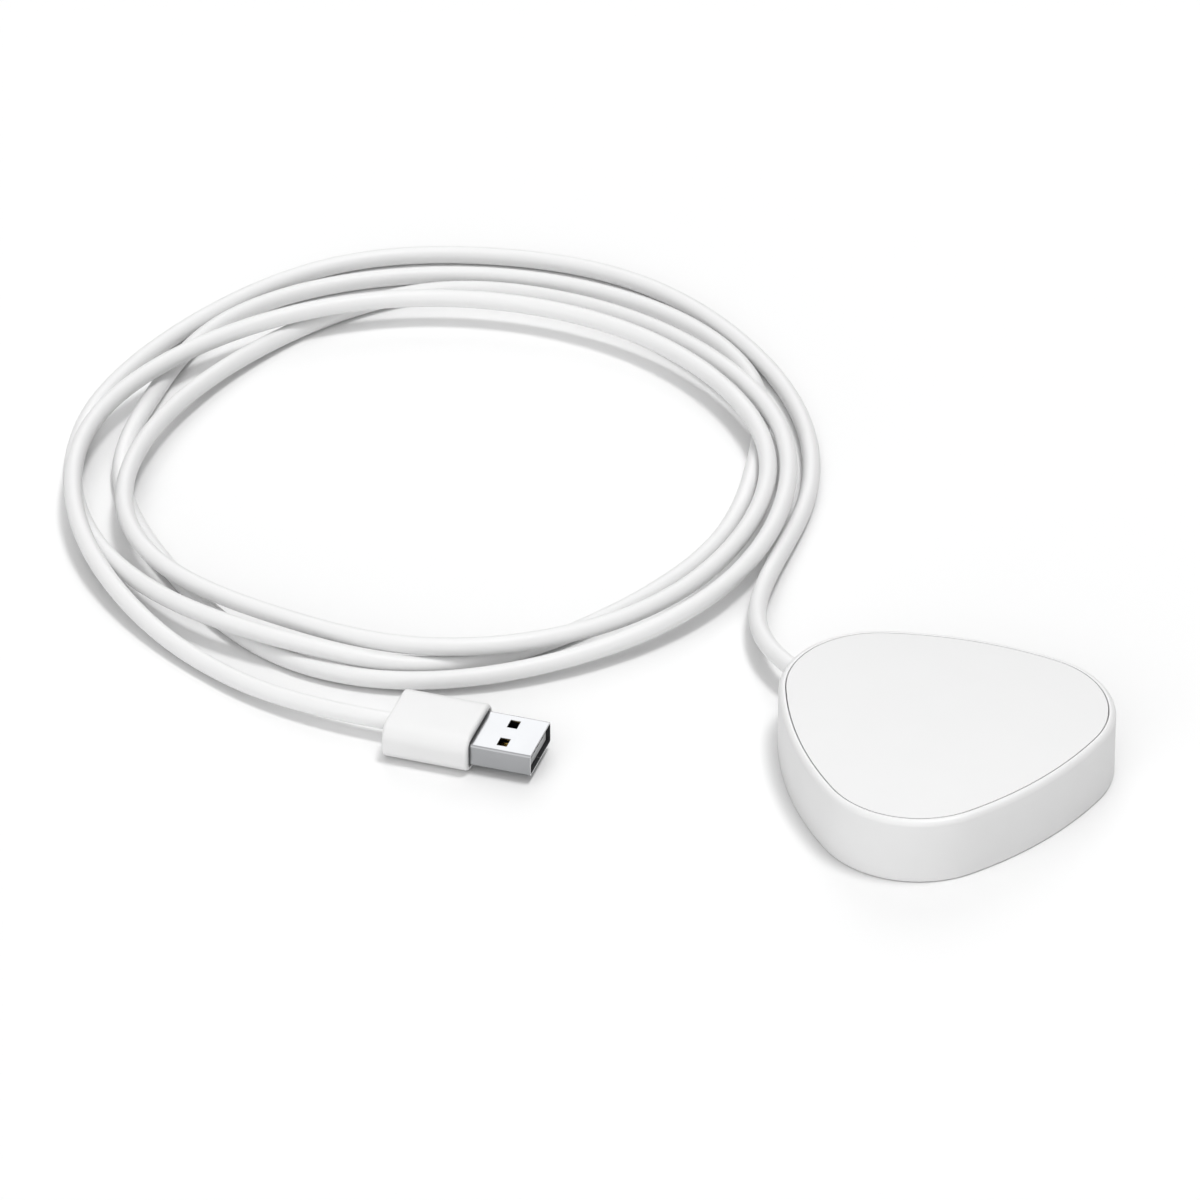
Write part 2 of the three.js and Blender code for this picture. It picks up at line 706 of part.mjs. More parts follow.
// The bush that lines the hole in the wall: a flange inside, and a sleeve that ends flush outside.
function grommetGeometry() {
  const { flangeRadius, flangeBack, flangeFront, sleeveRadius } = GROMMET;
  const flange = barrel(flangeRadius, flangeBack, flangeFront);
  const sleeve = barrel(sleeveRadius, flangeFront - SINK, GROMMET_END);
  const bore = barrel(CORD_RADIUS + RUN, flangeBack - PAST, GROMMET_END + PAST);
  return build([flange, sleeve], [bore]);
}

// The strap that holds the cord down on the base, with an ear and a screw on each side.
function clampGeometry() {
  const { halfWidth, near, far, bottom, top, screwX, middle, earX, earTop } = CLAMP;
  const channelHalf = CORD_RADIUS + RUN;
  const from = near - PAST;
  const to = far + PAST;
  const body = block(-halfWidth, halfWidth, near, far, bottom, top);
  const channel = barrel(channelHalf, from, to);
  const under = block(-channelHalf, channelHalf, from, to, bottom - PAST, CORD_HEIGHT);
  const leftEar = block(-halfWidth - PAST, -earX, from, to, earTop, top + PAST);
  const rightEar = block(earX, halfWidth + PAST, from, to, earTop, top + PAST);
  const holeRadius = CLAMP_SCREW.shankRadius + RUN;
  const holes = [-1, 1].map((side) =>
    rod(holeRadius, bottom - PAST, earTop + PAST, side * screwX, middle, 16),
  );
  return build([body], [channel, under, leftEar, rightEar, ...holes]);
}

// The cord's four wires: where each leaves the jacket, and its place in the socket's row.
const WIRES = [
  { name: "wire_power", side: -1, up: 1, place: -1.5, finish: MATERIALS.wireRed },
  { name: "wire_data_minus", side: -1, up: -1, place: -0.5, finish: MATERIALS.wireWhite },
  { name: "wire_data_plus", side: 1, up: -1, place: 0.5, finish: MATERIALS.wireGreen },
  { name: "wire_ground", side: 1, up: 1, place: 1.5, finish: MATERIALS.wireBlack },
];

// A wire from the end of the jacket into the socket.
function wireGeometry({ side, up, place }) {
  const startX = side * WIRE_SPREAD;
  const startZ = CORD_HEIGHT + up * WIRE_SPREAD;
  const endX = place * WIRE_PITCH;
  const curve = curveThrough([
    [startX, JACKET_END - RUN, startZ],
    [startX * 1.2, JACKET_END - 3, startZ],
    [endX, JACKET_END - 8, WIRE_END_HEIGHT],
    [endX, SOCKET.mouthBack + RUN, WIRE_END_HEIGHT],
  ]);
  return tube(curve, WIRE_RADIUS, 6, 10);
}

function addCordEntry(pad) {
  addPiece(pad, "cable_grommet", grommetGeometry(), MATERIALS.jacket);
  const tail = barrel(CORD_RADIUS, JACKET_END, GROMMET_END - SEAT, 16);
  addPiece(pad, "cord_tail", tail, MATERIALS.jacket);
  addPiece(pad, "cable_clamp", clampGeometry(), MATERIALS.innerPlastic);
  [-1, 1].forEach((side, i) => {
    const screw = screwGeometry(CLAMP_SCREW);
    screw.translate(side * CLAMP.screwX, CLAMP.middle, CLAMP.earTop + SEAT);
    addPiece(pad, "clamp_screw_" + (i + 1), screw, MATERIALS.steel);
  });
  for (const wire of WIRES) {
    addPiece(pad, wire.name, wireGeometry(wire), wire.finish);
  }
}

// ---------------------------------------------------------------- plug
// Drawn with its middle line along X and the tip at +X.

// Turns a shape drawn upright so that its height runs along X and its width along Y.
function layAlongX(geometry) {
  return geometry.rotateZ(Math.PI / 2).rotateY(Math.PI / 2);
}

function gripGeometry() {
  const { length, width, thickness, sideRadius, backRadius, frontRadius } = GRIP;
  const outline = roundedRectangle(width, thickness, sideRadius, 6);
  const profile = [...quarterRound(backRadius, -length, -1, 4), ...quarterRound(frontRadius, 0, 1, 3)];
  const body = layAlongX(sweepOutline(outline, profile, false));
  const { back, room } = GRIP_POCKET;
  const halfWidth = USB.width / 2 + room;
  const halfThickness = USB.thickness / 2 + room;
  const pocket = block(back, PAST, -halfWidth, halfWidth, -halfThickness, halfThickness);
  return build([body], [pocket]);
}

// The folded steel shell: a thin rectangular tube with two latch windows in its top and two in its bottom.
function shellGeometry() {
  const { width, thickness, wall, corner, edge, reach, depth } = USB;
  const outline = roundedRectangle(width, thickness, corner, 3);
  const profile = [
    [wall, -depth],
    [0, -depth],
    [0, reach - edge],
    [edge, reach],
    [wall, reach],
  ];
  const tubeShell = layAlongX(sweepOutline(outline, profile, true));
  const halfAlong = USB_WINDOW.along / 2;
  const halfAcross = USB_WINDOW.across / 2;
  const windows = [-1, 1].map((side) => {
    const y = side * USB_WINDOW.spread;
    const x = USB_WINDOW.middle;
    return block(x - halfAlong, x + halfAlong, y - halfAcross, y + halfAcross, -thickness, thickness);
  });
  return build([tubeShell], windows);
}

// A block on the plug's middle line.
function plugBlock({ back, front, halfWidth }, bottom, top, y = 0) {
  return block(back, front, y - halfWidth, y + halfWidth, bottom, top);
}

function addPlug(root) {
  const plug = new THREE.Group();
  plug.position.set(PLUG_FRONT[0], PLUG_FRONT[1], GRIP.thickness / 2);
  plug.rotation.z = PLUG_HEADING;
  root.add(plug);
  addPiece(plug, "plug_overmould", gripGeometry(), MATERIALS.jacket);
  addPiece(plug, "plug_shell", shellGeometry(), MATERIALS.shell);
  const core = plugBlock(PLUG_CORE, -PLUG_CORE.halfThickness, PLUG_CORE.halfThickness);
  addPiece(plug, "plug_core", core, MATERIALS.innerPlastic);
  addPiece(plug, "plug_tongue", plugBlock(TONGUE, TONGUE.bottom, TONGUE.top), MATERIALS.innerPlastic);
  CONTACT.places.forEach((y, i) => {
    const strip = plugBlock(CONTACT, CONTACT.lift, CONTACT.top, y);
    addPiece(plug, "plug_contact_" + (i + 1), strip, MATERIALS.contact);
  });
}

// ---------------------------------------------------------------- cord

// A clamped, evenly spaced cubic B-spline over the whole route.
function cordCurve() {
  const start = [0, PAD_SHIFT + GROMMET_END + RUN, CORD_HEIGHT];
  const heading = [Math.cos(PLUG_HEADING), Math.sin(PLUG_HEADING)];
  const back = GRIP.length + RUN;
  const height = GRIP.thickness / 2;
  const end = [PLUG_FRONT[0] - heading[0] * back, PLUG_FRONT[1] - heading[1] * back, height];
  const leadOut = [start[0], start[1] + LEAD_OUT, CORD_HEIGHT - LEAD_OUT_DROP];
  const leadIn = [end[0] - heading[0] * LEAD_IN, end[1] - heading[1] * LEAD_IN, height - LEAD_IN_RISE];
  const controls = [start, leadOut, ...LOOPS, leadIn, end].map((p) => new THREE.Vector4(...p, 1));
  const degree = 3;
  const spans = controls.length - degree;
  const knots = [];
  for (let i = 0; i < controls.length + degree + 1; i++) {
    knots.push(THREE.MathUtils.clamp(i - degree, 0, spans));
  }
  return new NURBSCurve(degree, knots, controls);
}

// ---------------------------------------------------------------- assembly

const part = new THREE.Group();
const pad = new THREE.Group();
pad.position.y = PAD_SHIFT;
part.add(pad);

addPiece(pad, "housing", housingGeometry(), MATERIALS.housing);
addPiece(pad, "top_plate", topPlateGeometry(), MATERIALS.plate);
addPiece(pad, "base_cover", baseCoverGeometry(), MATERIALS.innerPlastic);
addPiece(pad, "foot_pad", footGeometry(), MATERIALS.silicone);
PILLARS.forEach(([x, y], i) => {
  const screw = screwGeometry(BASE_SCREW).rotateX(Math.PI).translate(x, y, BASE_TOP + SEAT);
  addPiece(pad, "base_screw_" + (i + 1), screw, MATERIALS.steel);
});
addCoilStack(pad);
addBoard(pad);
addCordEntry(pad);
addPlug(part);
addPiece(part, "cord", tube(cordCurve(), CORD_RADIUS, CORD_SIDES, CORD_STEPS), MATERIALS.jacket);

export default part;
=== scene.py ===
"""Finished surfaces of a wireless charging pad with a captive cord and a USB-A plug."""

import math

import bmesh
import bpy
from bpy.props import FloatProperty, FloatVectorProperty, PointerProperty, StringProperty
from mathutils import Euler, Matrix, Vector


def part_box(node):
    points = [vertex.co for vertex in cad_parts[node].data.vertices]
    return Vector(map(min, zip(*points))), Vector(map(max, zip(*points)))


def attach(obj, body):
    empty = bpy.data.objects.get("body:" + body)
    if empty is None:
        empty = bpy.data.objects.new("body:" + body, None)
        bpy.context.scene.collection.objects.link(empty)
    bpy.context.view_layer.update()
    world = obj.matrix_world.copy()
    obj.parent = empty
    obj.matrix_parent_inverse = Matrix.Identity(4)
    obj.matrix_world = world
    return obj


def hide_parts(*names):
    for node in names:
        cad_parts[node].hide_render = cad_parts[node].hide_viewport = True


bl_info = {
    "name": "Wireless Charging Pad",
    "version": (1, 0, 0),
    "blender": (4, 5, 0),
    "location": "View3D > Sidebar > Charger",
    "description": "Makes the finished surfaces of a wireless charging pad, its cord and its plug",
    "category": "Object",
}

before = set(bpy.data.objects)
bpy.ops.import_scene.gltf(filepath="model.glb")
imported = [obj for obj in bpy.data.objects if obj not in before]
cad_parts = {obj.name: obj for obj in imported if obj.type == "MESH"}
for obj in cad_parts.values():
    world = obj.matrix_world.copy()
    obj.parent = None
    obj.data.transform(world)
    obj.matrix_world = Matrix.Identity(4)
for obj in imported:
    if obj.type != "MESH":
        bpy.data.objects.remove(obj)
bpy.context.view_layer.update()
MM = 0.001

# Control points of the cord's smooth curve between its two straight ends: x, y and height, in metres.
# The first loop lies on the surface, and later loops hump over earlier ones where they cross.
LOOPS = [
    (0.0205, 0.0640, 0.0025),
    (0.0475, 0.0755, 0.0018),
    (0.0685, 0.0985, 0.0018),
    (0.0790, 0.1285, 0.0018),
    (0.0795, 0.1595, 0.0018),
    (0.0630, 0.1860, 0.0018),
    (0.0400, 0.2050, 0.0018),
    (0.0065, 0.2075, 0.0018),
    (-0.0280, 0.2005, 0.0018),
    (-0.0500, 0.1830, 0.0018),
    (-0.0640, 0.1600, 0.0024),
    (-0.0700, 0.1295, 0.0062),
    (-0.0600, 0.1025, 0.0059),
    (-0.0445, 0.0815, 0.0018),
    (-0.0110, 0.0740, 0.0018),
    (0.0245, 0.0760, 0.0018),
    (0.0500, 0.0940, 0.0018),
    (0.0725, 0.1135, 0.0018),
    (0.0760, 0.1475, 0.0018),
    (0.0600, 0.1800, 0.0018),
    (0.0325, 0.2000, 0.0018),
    (0.0050, 0.2045, 0.0018),
    (-0.0185, 0.1925, 0.0018),
    (-0.0455, 0.1775, 0.0018),
    (-0.0585, 0.1435, 0.0018),
    (-0.0655, 0.1105, 0.0018),
    (-0.0535, 0.0845, 0.0022),
    (-0.0271, 0.0673, 0.0034),
    (0.0072, 0.0606, 0.0050),
    (0.0386, 0.0730, 0.0058),
    (0.0620, 0.0975, 0.0060),
    (0.0685, 0.1365, 0.0041),
    (0.0615, 0.1665, 0.0018),
    (0.0455, 0.1860, 0.0018),
    (0.0120, 0.1920, 0.0018),
    (-0.0265, 0.1840, 0.0044),
    (-0.0545, 0.1650, 0.0060),
    (-0.0640, 0.1405, 0.0059),
    (-0.0575, 0.1135, 0.0060),
    (-0.0485, 0.0880, 0.0063),
    (-0.0240, 0.0705, 0.0058),
    (0.0075, 0.0660, 0.0050),
    (0.0420, 0.0795, 0.0058),
    (0.0595, 0.1045, 0.0055),
    (0.0630, 0.1390, 0.0054),
    (0.0490, 0.1695, 0.0055),
    (0.0235, 0.1900, 0.0059),
    (-0.0120, 0.1970, 0.0058),
    (-0.0435, 0.1885, 0.0064),
    (-0.0650, 0.1645, 0.0060),
    (-0.0735, 0.1385, 0.0033),
    (-0.0750, 0.1150, 0.0018),
]


# ---------------------------------------------------------------- settings


def length_property(name, description, millimetres):
    """A size that a user can change, shown in scene units."""
    return FloatProperty(
        name=name,
        description=description,
        default=millimetres * MM,
        unit="LENGTH",
        subtype="DISTANCE",
        precision=5,
    )


def colour_property(name, description, hex_code):
    """An sRGB colour as six hex digits."""
    return StringProperty(name=name, description=description, default=hex_code, maxlen=6)


class StageSettings(bpy.types.PropertyGroup):
    aim: FloatVectorProperty(
        name="Aim",
        description="Point on the floor in the middle of the view",
        default=(-0.00389, 0.08231, 0.0),
        unit="LENGTH",
        subtype="TRANSLATION",
    )
    azimuth: FloatProperty(
        name="Azimuth",
        description="Turn of the view from looking along +Y towards looking along +X",
        default=math.radians(44.0),
        unit="ROTATION",
        subtype="ANGLE",
    )
    elevation: FloatProperty(
        name="Elevation",
        description="Height of the camera above the horizon",
        default=math.radians(34.2),
        unit="ROTATION",
        subtype="ANGLE",
    )
    distance: length_property("Distance", "Camera to the point it aims at", 1893.9)
    floor_size: length_property("Floor size", "Side of the square floor", 12000)
    floor_colour: colour_property("Floor colour", "Painted studio floor", "EEEEEE")


class CordSettings(bpy.types.PropertyGroup):
    diameter: length_property("Diameter", "Outer diameter of the jacket", 3.5)
    length: length_property("Length", "From the pad's wall to the plug's grip", 1650)
    lead_out: length_property("Lead out", "Straight stretch out of the pad", 16.5)
    lead_out_drop: length_property("Lead out drop", "Fall over the straight stretch out of the pad", 0.2)
    lead_in: length_property("Lead in", "Straight stretch into the plug", 20)
    lead_in_drop: length_property("Lead in drop", "Fall from the plug over the straight stretch", 0.5)
    overlap: length_property("Overlap", "How far the jacket runs into the grip", 1)
    colour: colour_property("Colour", "Jacket", "E3E3E3")


class PadSettings(bpy.types.PropertyGroup):
    corner_radius: length_property("Corner radius", "Radius of each corner arc in plan", 19)
    corner_offset: length_property("Corner offset", "Middle of the pad to the centre of a corner arc", 14.5)
    side_radius: length_property("Side radius", "Radius of each side arc in plan", 73)
    rim_fillet: length_property("Rim fillet", "Rounding between wall and rim", 1.15)
    rim_width: length_property("Rim width", "Outer wall to the joint round the plate", 1.3)
    joint_width: length_property("Joint width", "Gap between rim and plate", 0.2)
    joint_depth: length_property("Joint depth", "Depth of the gap between rim and plate", 1.8)
    rim_edge: length_property("Rim edge", "Rounding of the rim's inner edge", 0.12)
    plate_edge: length_property("Plate edge", "Rounding of the plate's edge", 0.04)
    skirt_edge: length_property("Skirt edge", "Rounding of the wall's bottom edge", 0.3)
    housing_colour: colour_property("Housing colour", "Wall and rim", "E1E1E1")
    plate_colour: colour_property("Plate colour", "Charging face", "E1E1E1")
    base_colour: colour_property("Base colour", "Cover underneath", "DCDCDB")
    foot_colour: colour_property("Foot colour", "Foot underneath", "D6D6D4")


class PlugSettings(bpy.types.PropertyGroup):
    heading: FloatProperty(
        name="Heading",
        description="Direction that the plug's tip points in, from +X",
        default=math.radians(-62.0),
        unit="ROTATION",
        subtype="ANGLE",
    )
    grip_length: length_property("Grip length", "Back to front", 16.7)
    grip_width: length_property("Grip width", "Side to side", 15.6)
    grip_thickness: length_property("Grip thickness", "Top to bottom", 7.8)
    grip_side: length_property("Grip side", "Rounding along the two long sides", 3.3)
    grip_back_edge: length_property("Grip back edge", "Rounding round the back", 0.6)
    grip_front_edge: length_property("Grip front edge", "Rounding round the front", 0.7)
    pocket_gap: length_property("Pocket gap", "Gap between grip and shell", 0.45)
    shell_width: length_property("Shell width", "Standard width of the steel shell", 12)
    shell_thickness: length_property("Shell thickness", "Standard height of the steel shell", 4.5)
    shell_wall: length_property("Shell wall", "Thickness of the sheet", 0.3)
    shell_bend: length_property("Shell bend", "Outer radius of the folded corners", 0.5)
    shell_reach: length_property("Shell reach", "Length that stands out of the grip", 11.8)
    shell_depth: length_property("Shell depth", "Length held inside the grip", 6)
    grip_colour: colour_property("Grip colour", "Moulded grip", "E1E1E1")
    shell_colour: colour_property("Shell colour", "Plated steel", "A6A7A9")
    tongue_colour: colour_property("Tongue colour", "Plastic tongue in the mouth", "C4C5C6")


SETTINGS = {
    "charger_stage": StageSettings,
    "charger_cord": CordSettings,
    "charger_pad": PadSettings,
    "charger_plug": PlugSettings,
}


# ---------------------------------------------------------------- materials


def linear(hex_code):
    """The linear colour of an sRGB hex code, with alpha."""
    channels = [int(hex_code[i : i + 2], 16) / 255 for i in (0, 2, 4)]
    return tuple(c / 12.92 if c <= 0.04045 else ((c + 0.055) / 1.055) ** 2.4 for c in channels) + (1.0,)


def per_metre(millimetres):
    """Texture scale for a pattern whose features are this size."""
    return 1 / (millimetres * MM)


def add_node(tree, kind, values=None, links=None, **settings):
    """Adds a node with its settings, constant inputs and incoming links."""
    node = tree.nodes.new(kind)
    for name, value in settings.items():
        setattr(node, name, value)
    for socket, value in (values or {}).items():
        node.inputs[socket].default_value = value
    for socket, source in (links or {}).items():
        tree.links.new(source, node.inputs[socket])
    return node


def new_surface(name, **constants):
    """A material and its shader, with constants set on the shader's own sockets."""
    surface = bpy.data.materials.new(name)
    surface.use_nodes = True
    shader = surface.node_tree.nodes["Principled BSDF"]
    for socket, value in constants.items():
        shader.inputs[socket.replace("_", " ")].default_value = value
    return surface, surface.node_tree, shader


def grain(tree, size, stretch=(1, 1, 1), detail=2.0):
    """Noise whose blotches are this many millimetres across, in the frame's own coordinates."""
    place = add_node(tree, "ShaderNodeTexCoord")
    stretched = add_node(
        tree, "ShaderNodeMapping", {"Scale": stretch}, {"Vector": place.outputs["Object"]}
    )
    return add_node(
        tree,
        "ShaderNodeTexNoise",
        {"Scale": per_metre(size), "Detail": detail},
        {"Vector": stretched.outputs["Vector"]},
    ).outputs["Fac"]


def tint(tree, shader, pattern, dark, light):
    """Lets a pattern move the base colour between two sRGB hex colours."""
    mix = tree.nodes.new("ShaderNodeMix")
    mix.data_type = "RGBA"
    mix.inputs[6].default_value = linear(dark)
    mix.inputs[7].default_value = linear(light)
    tree.links.new(pattern, mix.inputs[0])
    tree.links.new(mix.outputs[2], shader.inputs["Base Color"])


def gloss(tree, shader, pattern, low, high):
    """Lets a pattern move the roughness between two values."""
    spread = add_node(
        tree, "ShaderNodeMapRange", {"To Min": low, "To Max": high}, {"Value": pattern}
    )
    tree.links.new(spread.outputs["Result"], shader.inputs["Roughness"])


def relief(tree, shader, pattern, height, strength=1.0):
    """Raises the surface by a pattern, this many millimetres high."""
    bump = add_node(
        tree, "ShaderNodeBump", {"Distance": height * MM, "Strength": strength}, {"Height": pattern}
    )
    tree.links.new(bump.outputs["Normal"], shader.inputs["Normal"])


def shade(hex_code, steps):
    """The hex colour made lighter or darker by a number of 8-bit steps."""
    channels = [int(hex_code[i : i + 2], 16) + steps for i in (0, 2, 4)]
    return "".join(f"{min(255, max(0, c)):02X}" for c in channels)


def plain_moulding(name, colour, grain_size, roughness, height, spread=2, ior=1.5):
    """A moulded plastic: fine texture from the tool, and a faint cloudiness in the colour."""
    surface, tree, shader = new_surface(name, IOR=ior)
    texture = grain(tree, grain_size)
    tint(tree, shader, grain(tree, grain_size * 20), shade(colour, -spread), shade(colour, spread))
    gloss(tree, shader, texture, roughness - 0.05, roughness + 0.05)
    relief(tree, shader, texture, height)
    return surface


def moulded_polycarbonate(colour):
    # Spark-eroded tool: a satin white that softens every highlight.
    return plain_moulding("moulded_polycarbonate", colour, 0.4, 0.42, 0.004, ior=1.58)


def soft_touch_lacquer(colour):
    # Sprayed elastomer lacquer: flatter and a little greyer than the rim, with no highlight of its own.
    return plain_moulding("soft_touch_lacquer", colour, 0.5, 0.62, 0.003, spread=1, ior=1.48)


def extruded_tpe(colour):
    # Thermoplastic elastomer drawn through a die: satin, with a faint waviness along the jacket.
    surface, tree, shader = new_surface("extruded_tpe", IOR=1.5)
    tint(tree, shader, grain(tree, 9), shade(colour, -2), shade(colour, 1))
    texture = grain(tree, 0.7)
    gloss(tree, shader, texture, 0.42, 0.54)
    relief(tree, shader, texture, 0.006)
    return surface


def overmoulded_tpe(colour):
    # The same elastomer shot over the plug: a finer, drier texture than the extruded jacket.
    return plain_moulding("overmoulded_tpe", colour, 0.35, 0.5, 0.004)


def moulded_abs(colour):
    # Plain ABS cover: slightly warmer and glossier than the housing.
    return plain_moulding("moulded_abs", colour, 0.5, 0.4, 0.005, ior=1.54)


def cast_silicone(colour):
    # Silicone sheet: dull, with a dry bloom.
    surface, tree, shader = new_surface("cast_silicone", IOR=1.42, Sheen_Weight=0.15, Sheen_Roughness=0.5)
    texture = grain(tree, 0.3)
    tint(tree, shader, grain(tree, 6), shade(colour, -3), shade(colour, 2))
    gloss(tree, shader, texture, 0.7, 0.85)
    relief(tree, shader, texture, 0.01)
    return surface


def nickel_plated_steel(colour, heading):
    # Rolled strip, folded and nickel plated: mirror-like but softened by fine roller lines along the plug.
    surface, tree, shader = new_surface("nickel_plated_steel", Metallic=1.0)
    place = add_node(tree, "ShaderNodeTexCoord")
    turned = add_node(
        tree,
        "ShaderNodeMapping",
        {"Rotation": Euler((0, 0, -heading)), "Scale": (0.04, 1, 1)},
        {"Vector": place.outputs["Object"]},
        vector_type="TEXTURE",
    )
    lines = add_node(
        tree,
        "ShaderNodeTexNoise",
        {"Scale": per_metre(0.15), "Detail": 1.0},
        {"Vector": turned.outputs["Vector"]},
    ).outputs["Fac"]
    tint(tree, shader, grain(tree, 5), shade(colour, -3), shade(colour, 3))
    gloss(tree, shader, lines, 0.16, 0.26)
    relief(tree, shader, lines, 0.001)
    return surface


def shell_inside_painted_shade():
    # The inside of the fold: dull and dark, painted shade for the unlit inside of the shell.
    return worn_metal("shell_inside_painted_shade", "4A4A4C", 0.3, 0.5, 0.7, 0.002)


def strip_edge_painted_highlight():
    # The cut edge of the strip, made bright as a painted highlight: the thin pale line round the mouth and
    # the windows.
    return worn_metal("strip_edge_painted_highlight", "DADBDC", 0.2, 0.3, 0.4, 0.001)


def black_core_and_painted_shade():
    # Near-black plastic, the plug's inner core; on the tongue's contact side it is painted shade, so the
    # mouth and the windows read as dark.
    return plain_moulding("black_core_and_painted_shade", "0A0A0B", 0.3, 0.8, 0.003, spread=2, ior=1.3)


def moulded_pbt(colour):
    # Glass-filled polyester tongue: dry and grey-white, with the faint streaks of its fibres.
    surface, tree, shader = new_surface("moulded_pbt", IOR=1.57)
    fibres = grain(tree, 0.4, stretch=(1, 0.3, 1))
    tint(tree, shader, fibres, shade(colour, -6), shade(colour, 6))
    gloss(tree, shader, fibres, 0.45, 0.6)
    relief(tree, shader, fibres, 0.003)
    return surface


def worn_metal(name, colour, size, low, high, height, stretch=(1, 1, 1)):
    """A metal whose gloss and colour vary with one fine pattern."""
    surface, tree, shader = new_surface(name, Metallic=1.0)
    texture = grain(tree, size, stretch)
    tint(tree, shader, texture, shade(colour, -10), shade(colour, 8))
    gloss(tree, shader, texture, low, high)
    relief(tree, shader, texture, height)
    return surface


def gold_flashed_bronze():
    # A thin gold flash over rolled bronze strip: warm, bright, a little streaky.
    return worn_metal("gold_flashed_bronze", "D9B45C", 0.2, 0.18, 0.32, 0.001, stretch=(1, 0.2, 1))


def zinc_plated_steel():
    # Barrel-plated screws: cloudy blue-grey.
    return worn_metal("zinc_plated_steel", "A9AEB4", 0.3, 0.3, 0.5, 0.003)


def drawn_aluminium():
    # Drawn can: pale, with lines round it.
    return worn_metal("drawn_aluminium", "C4C7CA", 0.2, 0.22, 0.36, 0.002, stretch=(1, 1, 0.2))


def plated_neodymium():
    # Nickel over a pressed magnet: bright with a faint orange peel.
    return worn_metal("plated_neodymium", "BFC1C4", 0.6, 0.14, 0.24, 0.004)


def sintered_ferrite():
    # Pressed and fired oxide: near black, granular, slightly shiny.
    return plain_moulding("sintered_ferrite", "2B2C2E", 0.15, 0.5, 0.01, spread=6, ior=2.3)


def enamelled_copper(centre):
    # Flat spiral of enamelled strand: rings 0.7 mm apart with a varnished copper glow.
    surface, tree, shader = new_surface(
        "enamelled_copper", Metallic=0.8, Coat_Weight=0.6, Coat_Roughness=0.15
    )
    place = add_node(tree, "ShaderNodeTexCoord")
    centred = add_node(
        tree,
        "ShaderNodeMapping",
        {"Location": (-centre.x, -centre.y, 0)},
        {"Vector": place.outputs["Object"]},
    )
    strands = add_node(
        tree,
        "ShaderNodeTexWave",
        {"Scale": per_metre(0.7) / 20, "Distortion": 0.2},
        {"Vector": centred.outputs["Vector"]},
        wave_type="RINGS",
        rings_direction="Z",
    ).outputs["Fac"]
    tint(tree, shader, strands, "6E3A1C", "C27A44")
    gloss(tree, shader, strands, 0.45, 0.3)
    relief(tree, shader, strands, 0.2)
    return surface


def solder_masked_laminate():
    # Glass laminate under green mask: glossy, with the weave just showing as a 0.6 mm checker.
    surface, tree, shader = new_surface(
        "solder_masked_laminate", IOR=1.55, Coat_Weight=0.5, Coat_Roughness=0.1
    )
    place = add_node(tree, "ShaderNodeTexCoord")
    weave = add_node(
        tree, "ShaderNodeTexChecker", {"Scale": per_metre(0.6)}, {"Vector": place.outputs["Object"]}
    ).outputs["Fac"]
    tint(tree, shader, weave, "14472C", "1A5235")
    gloss(tree, shader, grain(tree, 0.5), 0.3, 0.42)
    relief(tree, shader, weave, 0.004)
    return surface


def moulded_epoxy():
    # Chip package: charcoal, sand-blasted.
    return plain_moulding("moulded_epoxy", "1D1E20", 0.12, 0.55, 0.006, spread=3, ior=1.6)


def fired_ceramic():
    # Multilayer capacitor: tan, slightly glazed.
    return plain_moulding("fired_ceramic", "A08460", 0.25, 0.38, 0.004, spread=5, ior=1.7)


def natural_nylon():
    # Unfilled nylon: milky and waxy.
    return plain_moulding("natural_nylon", "D9D9D2", 0.5, 0.45, 0.006, spread=3, ior=1.53)


def pvc_insulation(name, colour):
    # Extruded PVC on a thin wire: saturated and slightly waxy.
    return plain_moulding(name, colour, 0.3, 0.35, 0.003, spread=4, ior=1.54)


def painted_floor(colour):
    # Matt studio paint, pale enough to burn out. The grey near objects is painted in by occlusion, on top
    # of the shadows that the lights cast.
    surface, tree, shader = new_surface("painted_floor", Roughness=0.9, Specular_IOR_Level=0.2)
    corner = add_node(tree, "ShaderNodeAmbientOcclusion", {"Distance": 30 * MM}, samples=8)
    tint(tree, shader, corner.outputs["AO"], shade(colour, -10), colour)
    return surface


# ---------------------------------------------------------------- shape helpers


def arc_stations(centre_x, centre_y, radius, start, end, steps):
    """Points along an arc with the outward direction at each, the last one left out."""
    stations = []
    for i in range(steps):
        angle = start + (end - start) * i / steps
        out_x, out_y = math.cos(angle), math.sin(angle)
        stations.append((centre_x + radius * out_x, centre_y + radius * out_y, out_x, out_y))
    return stations


def pad_outline(pad):
    """The pad's plan about its middle: three corner arcs and three flatter side arcs, all tangent."""
    corner_steps, side_steps = 30, 24
    reach = pad.side_radius - pad.corner_radius
    spread = pad.corner_offset**2 - 4 * (pad.corner_offset**2 - reach**2)
    side_offset = (math.sqrt(spread) - pad.corner_offset) / 2
    third = math.tau / 3
    half = math.atan2(side_offset * math.sin(third / 2), pad.corner_offset + side_offset / 2)
    stations = []
    for corner in range(3):
        middle = math.pi / 2 + corner * third
        side = middle + third / 2
        stations += arc_stations(
            pad.corner_offset * math.cos(middle),
            pad.corner_offset * math.sin(middle),
            pad.corner_radius,
            middle - half,
            middle + half,
            corner_steps,
        )
        stations += arc_stations(
            -side_offset * math.cos(side),
            -side_offset * math.sin(side),
            pad.side_radius,
            middle + half,
            middle + third - half,
            side_steps,
        )
    return stations


def pad_middle(pad):
    """Where the middle of the pad's triangle lies, from the housing's furthest point in Y."""
    tip = pad.corner_offset + pad.corner_radius
    return Vector((0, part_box("housing")[1].y - tip, 0))


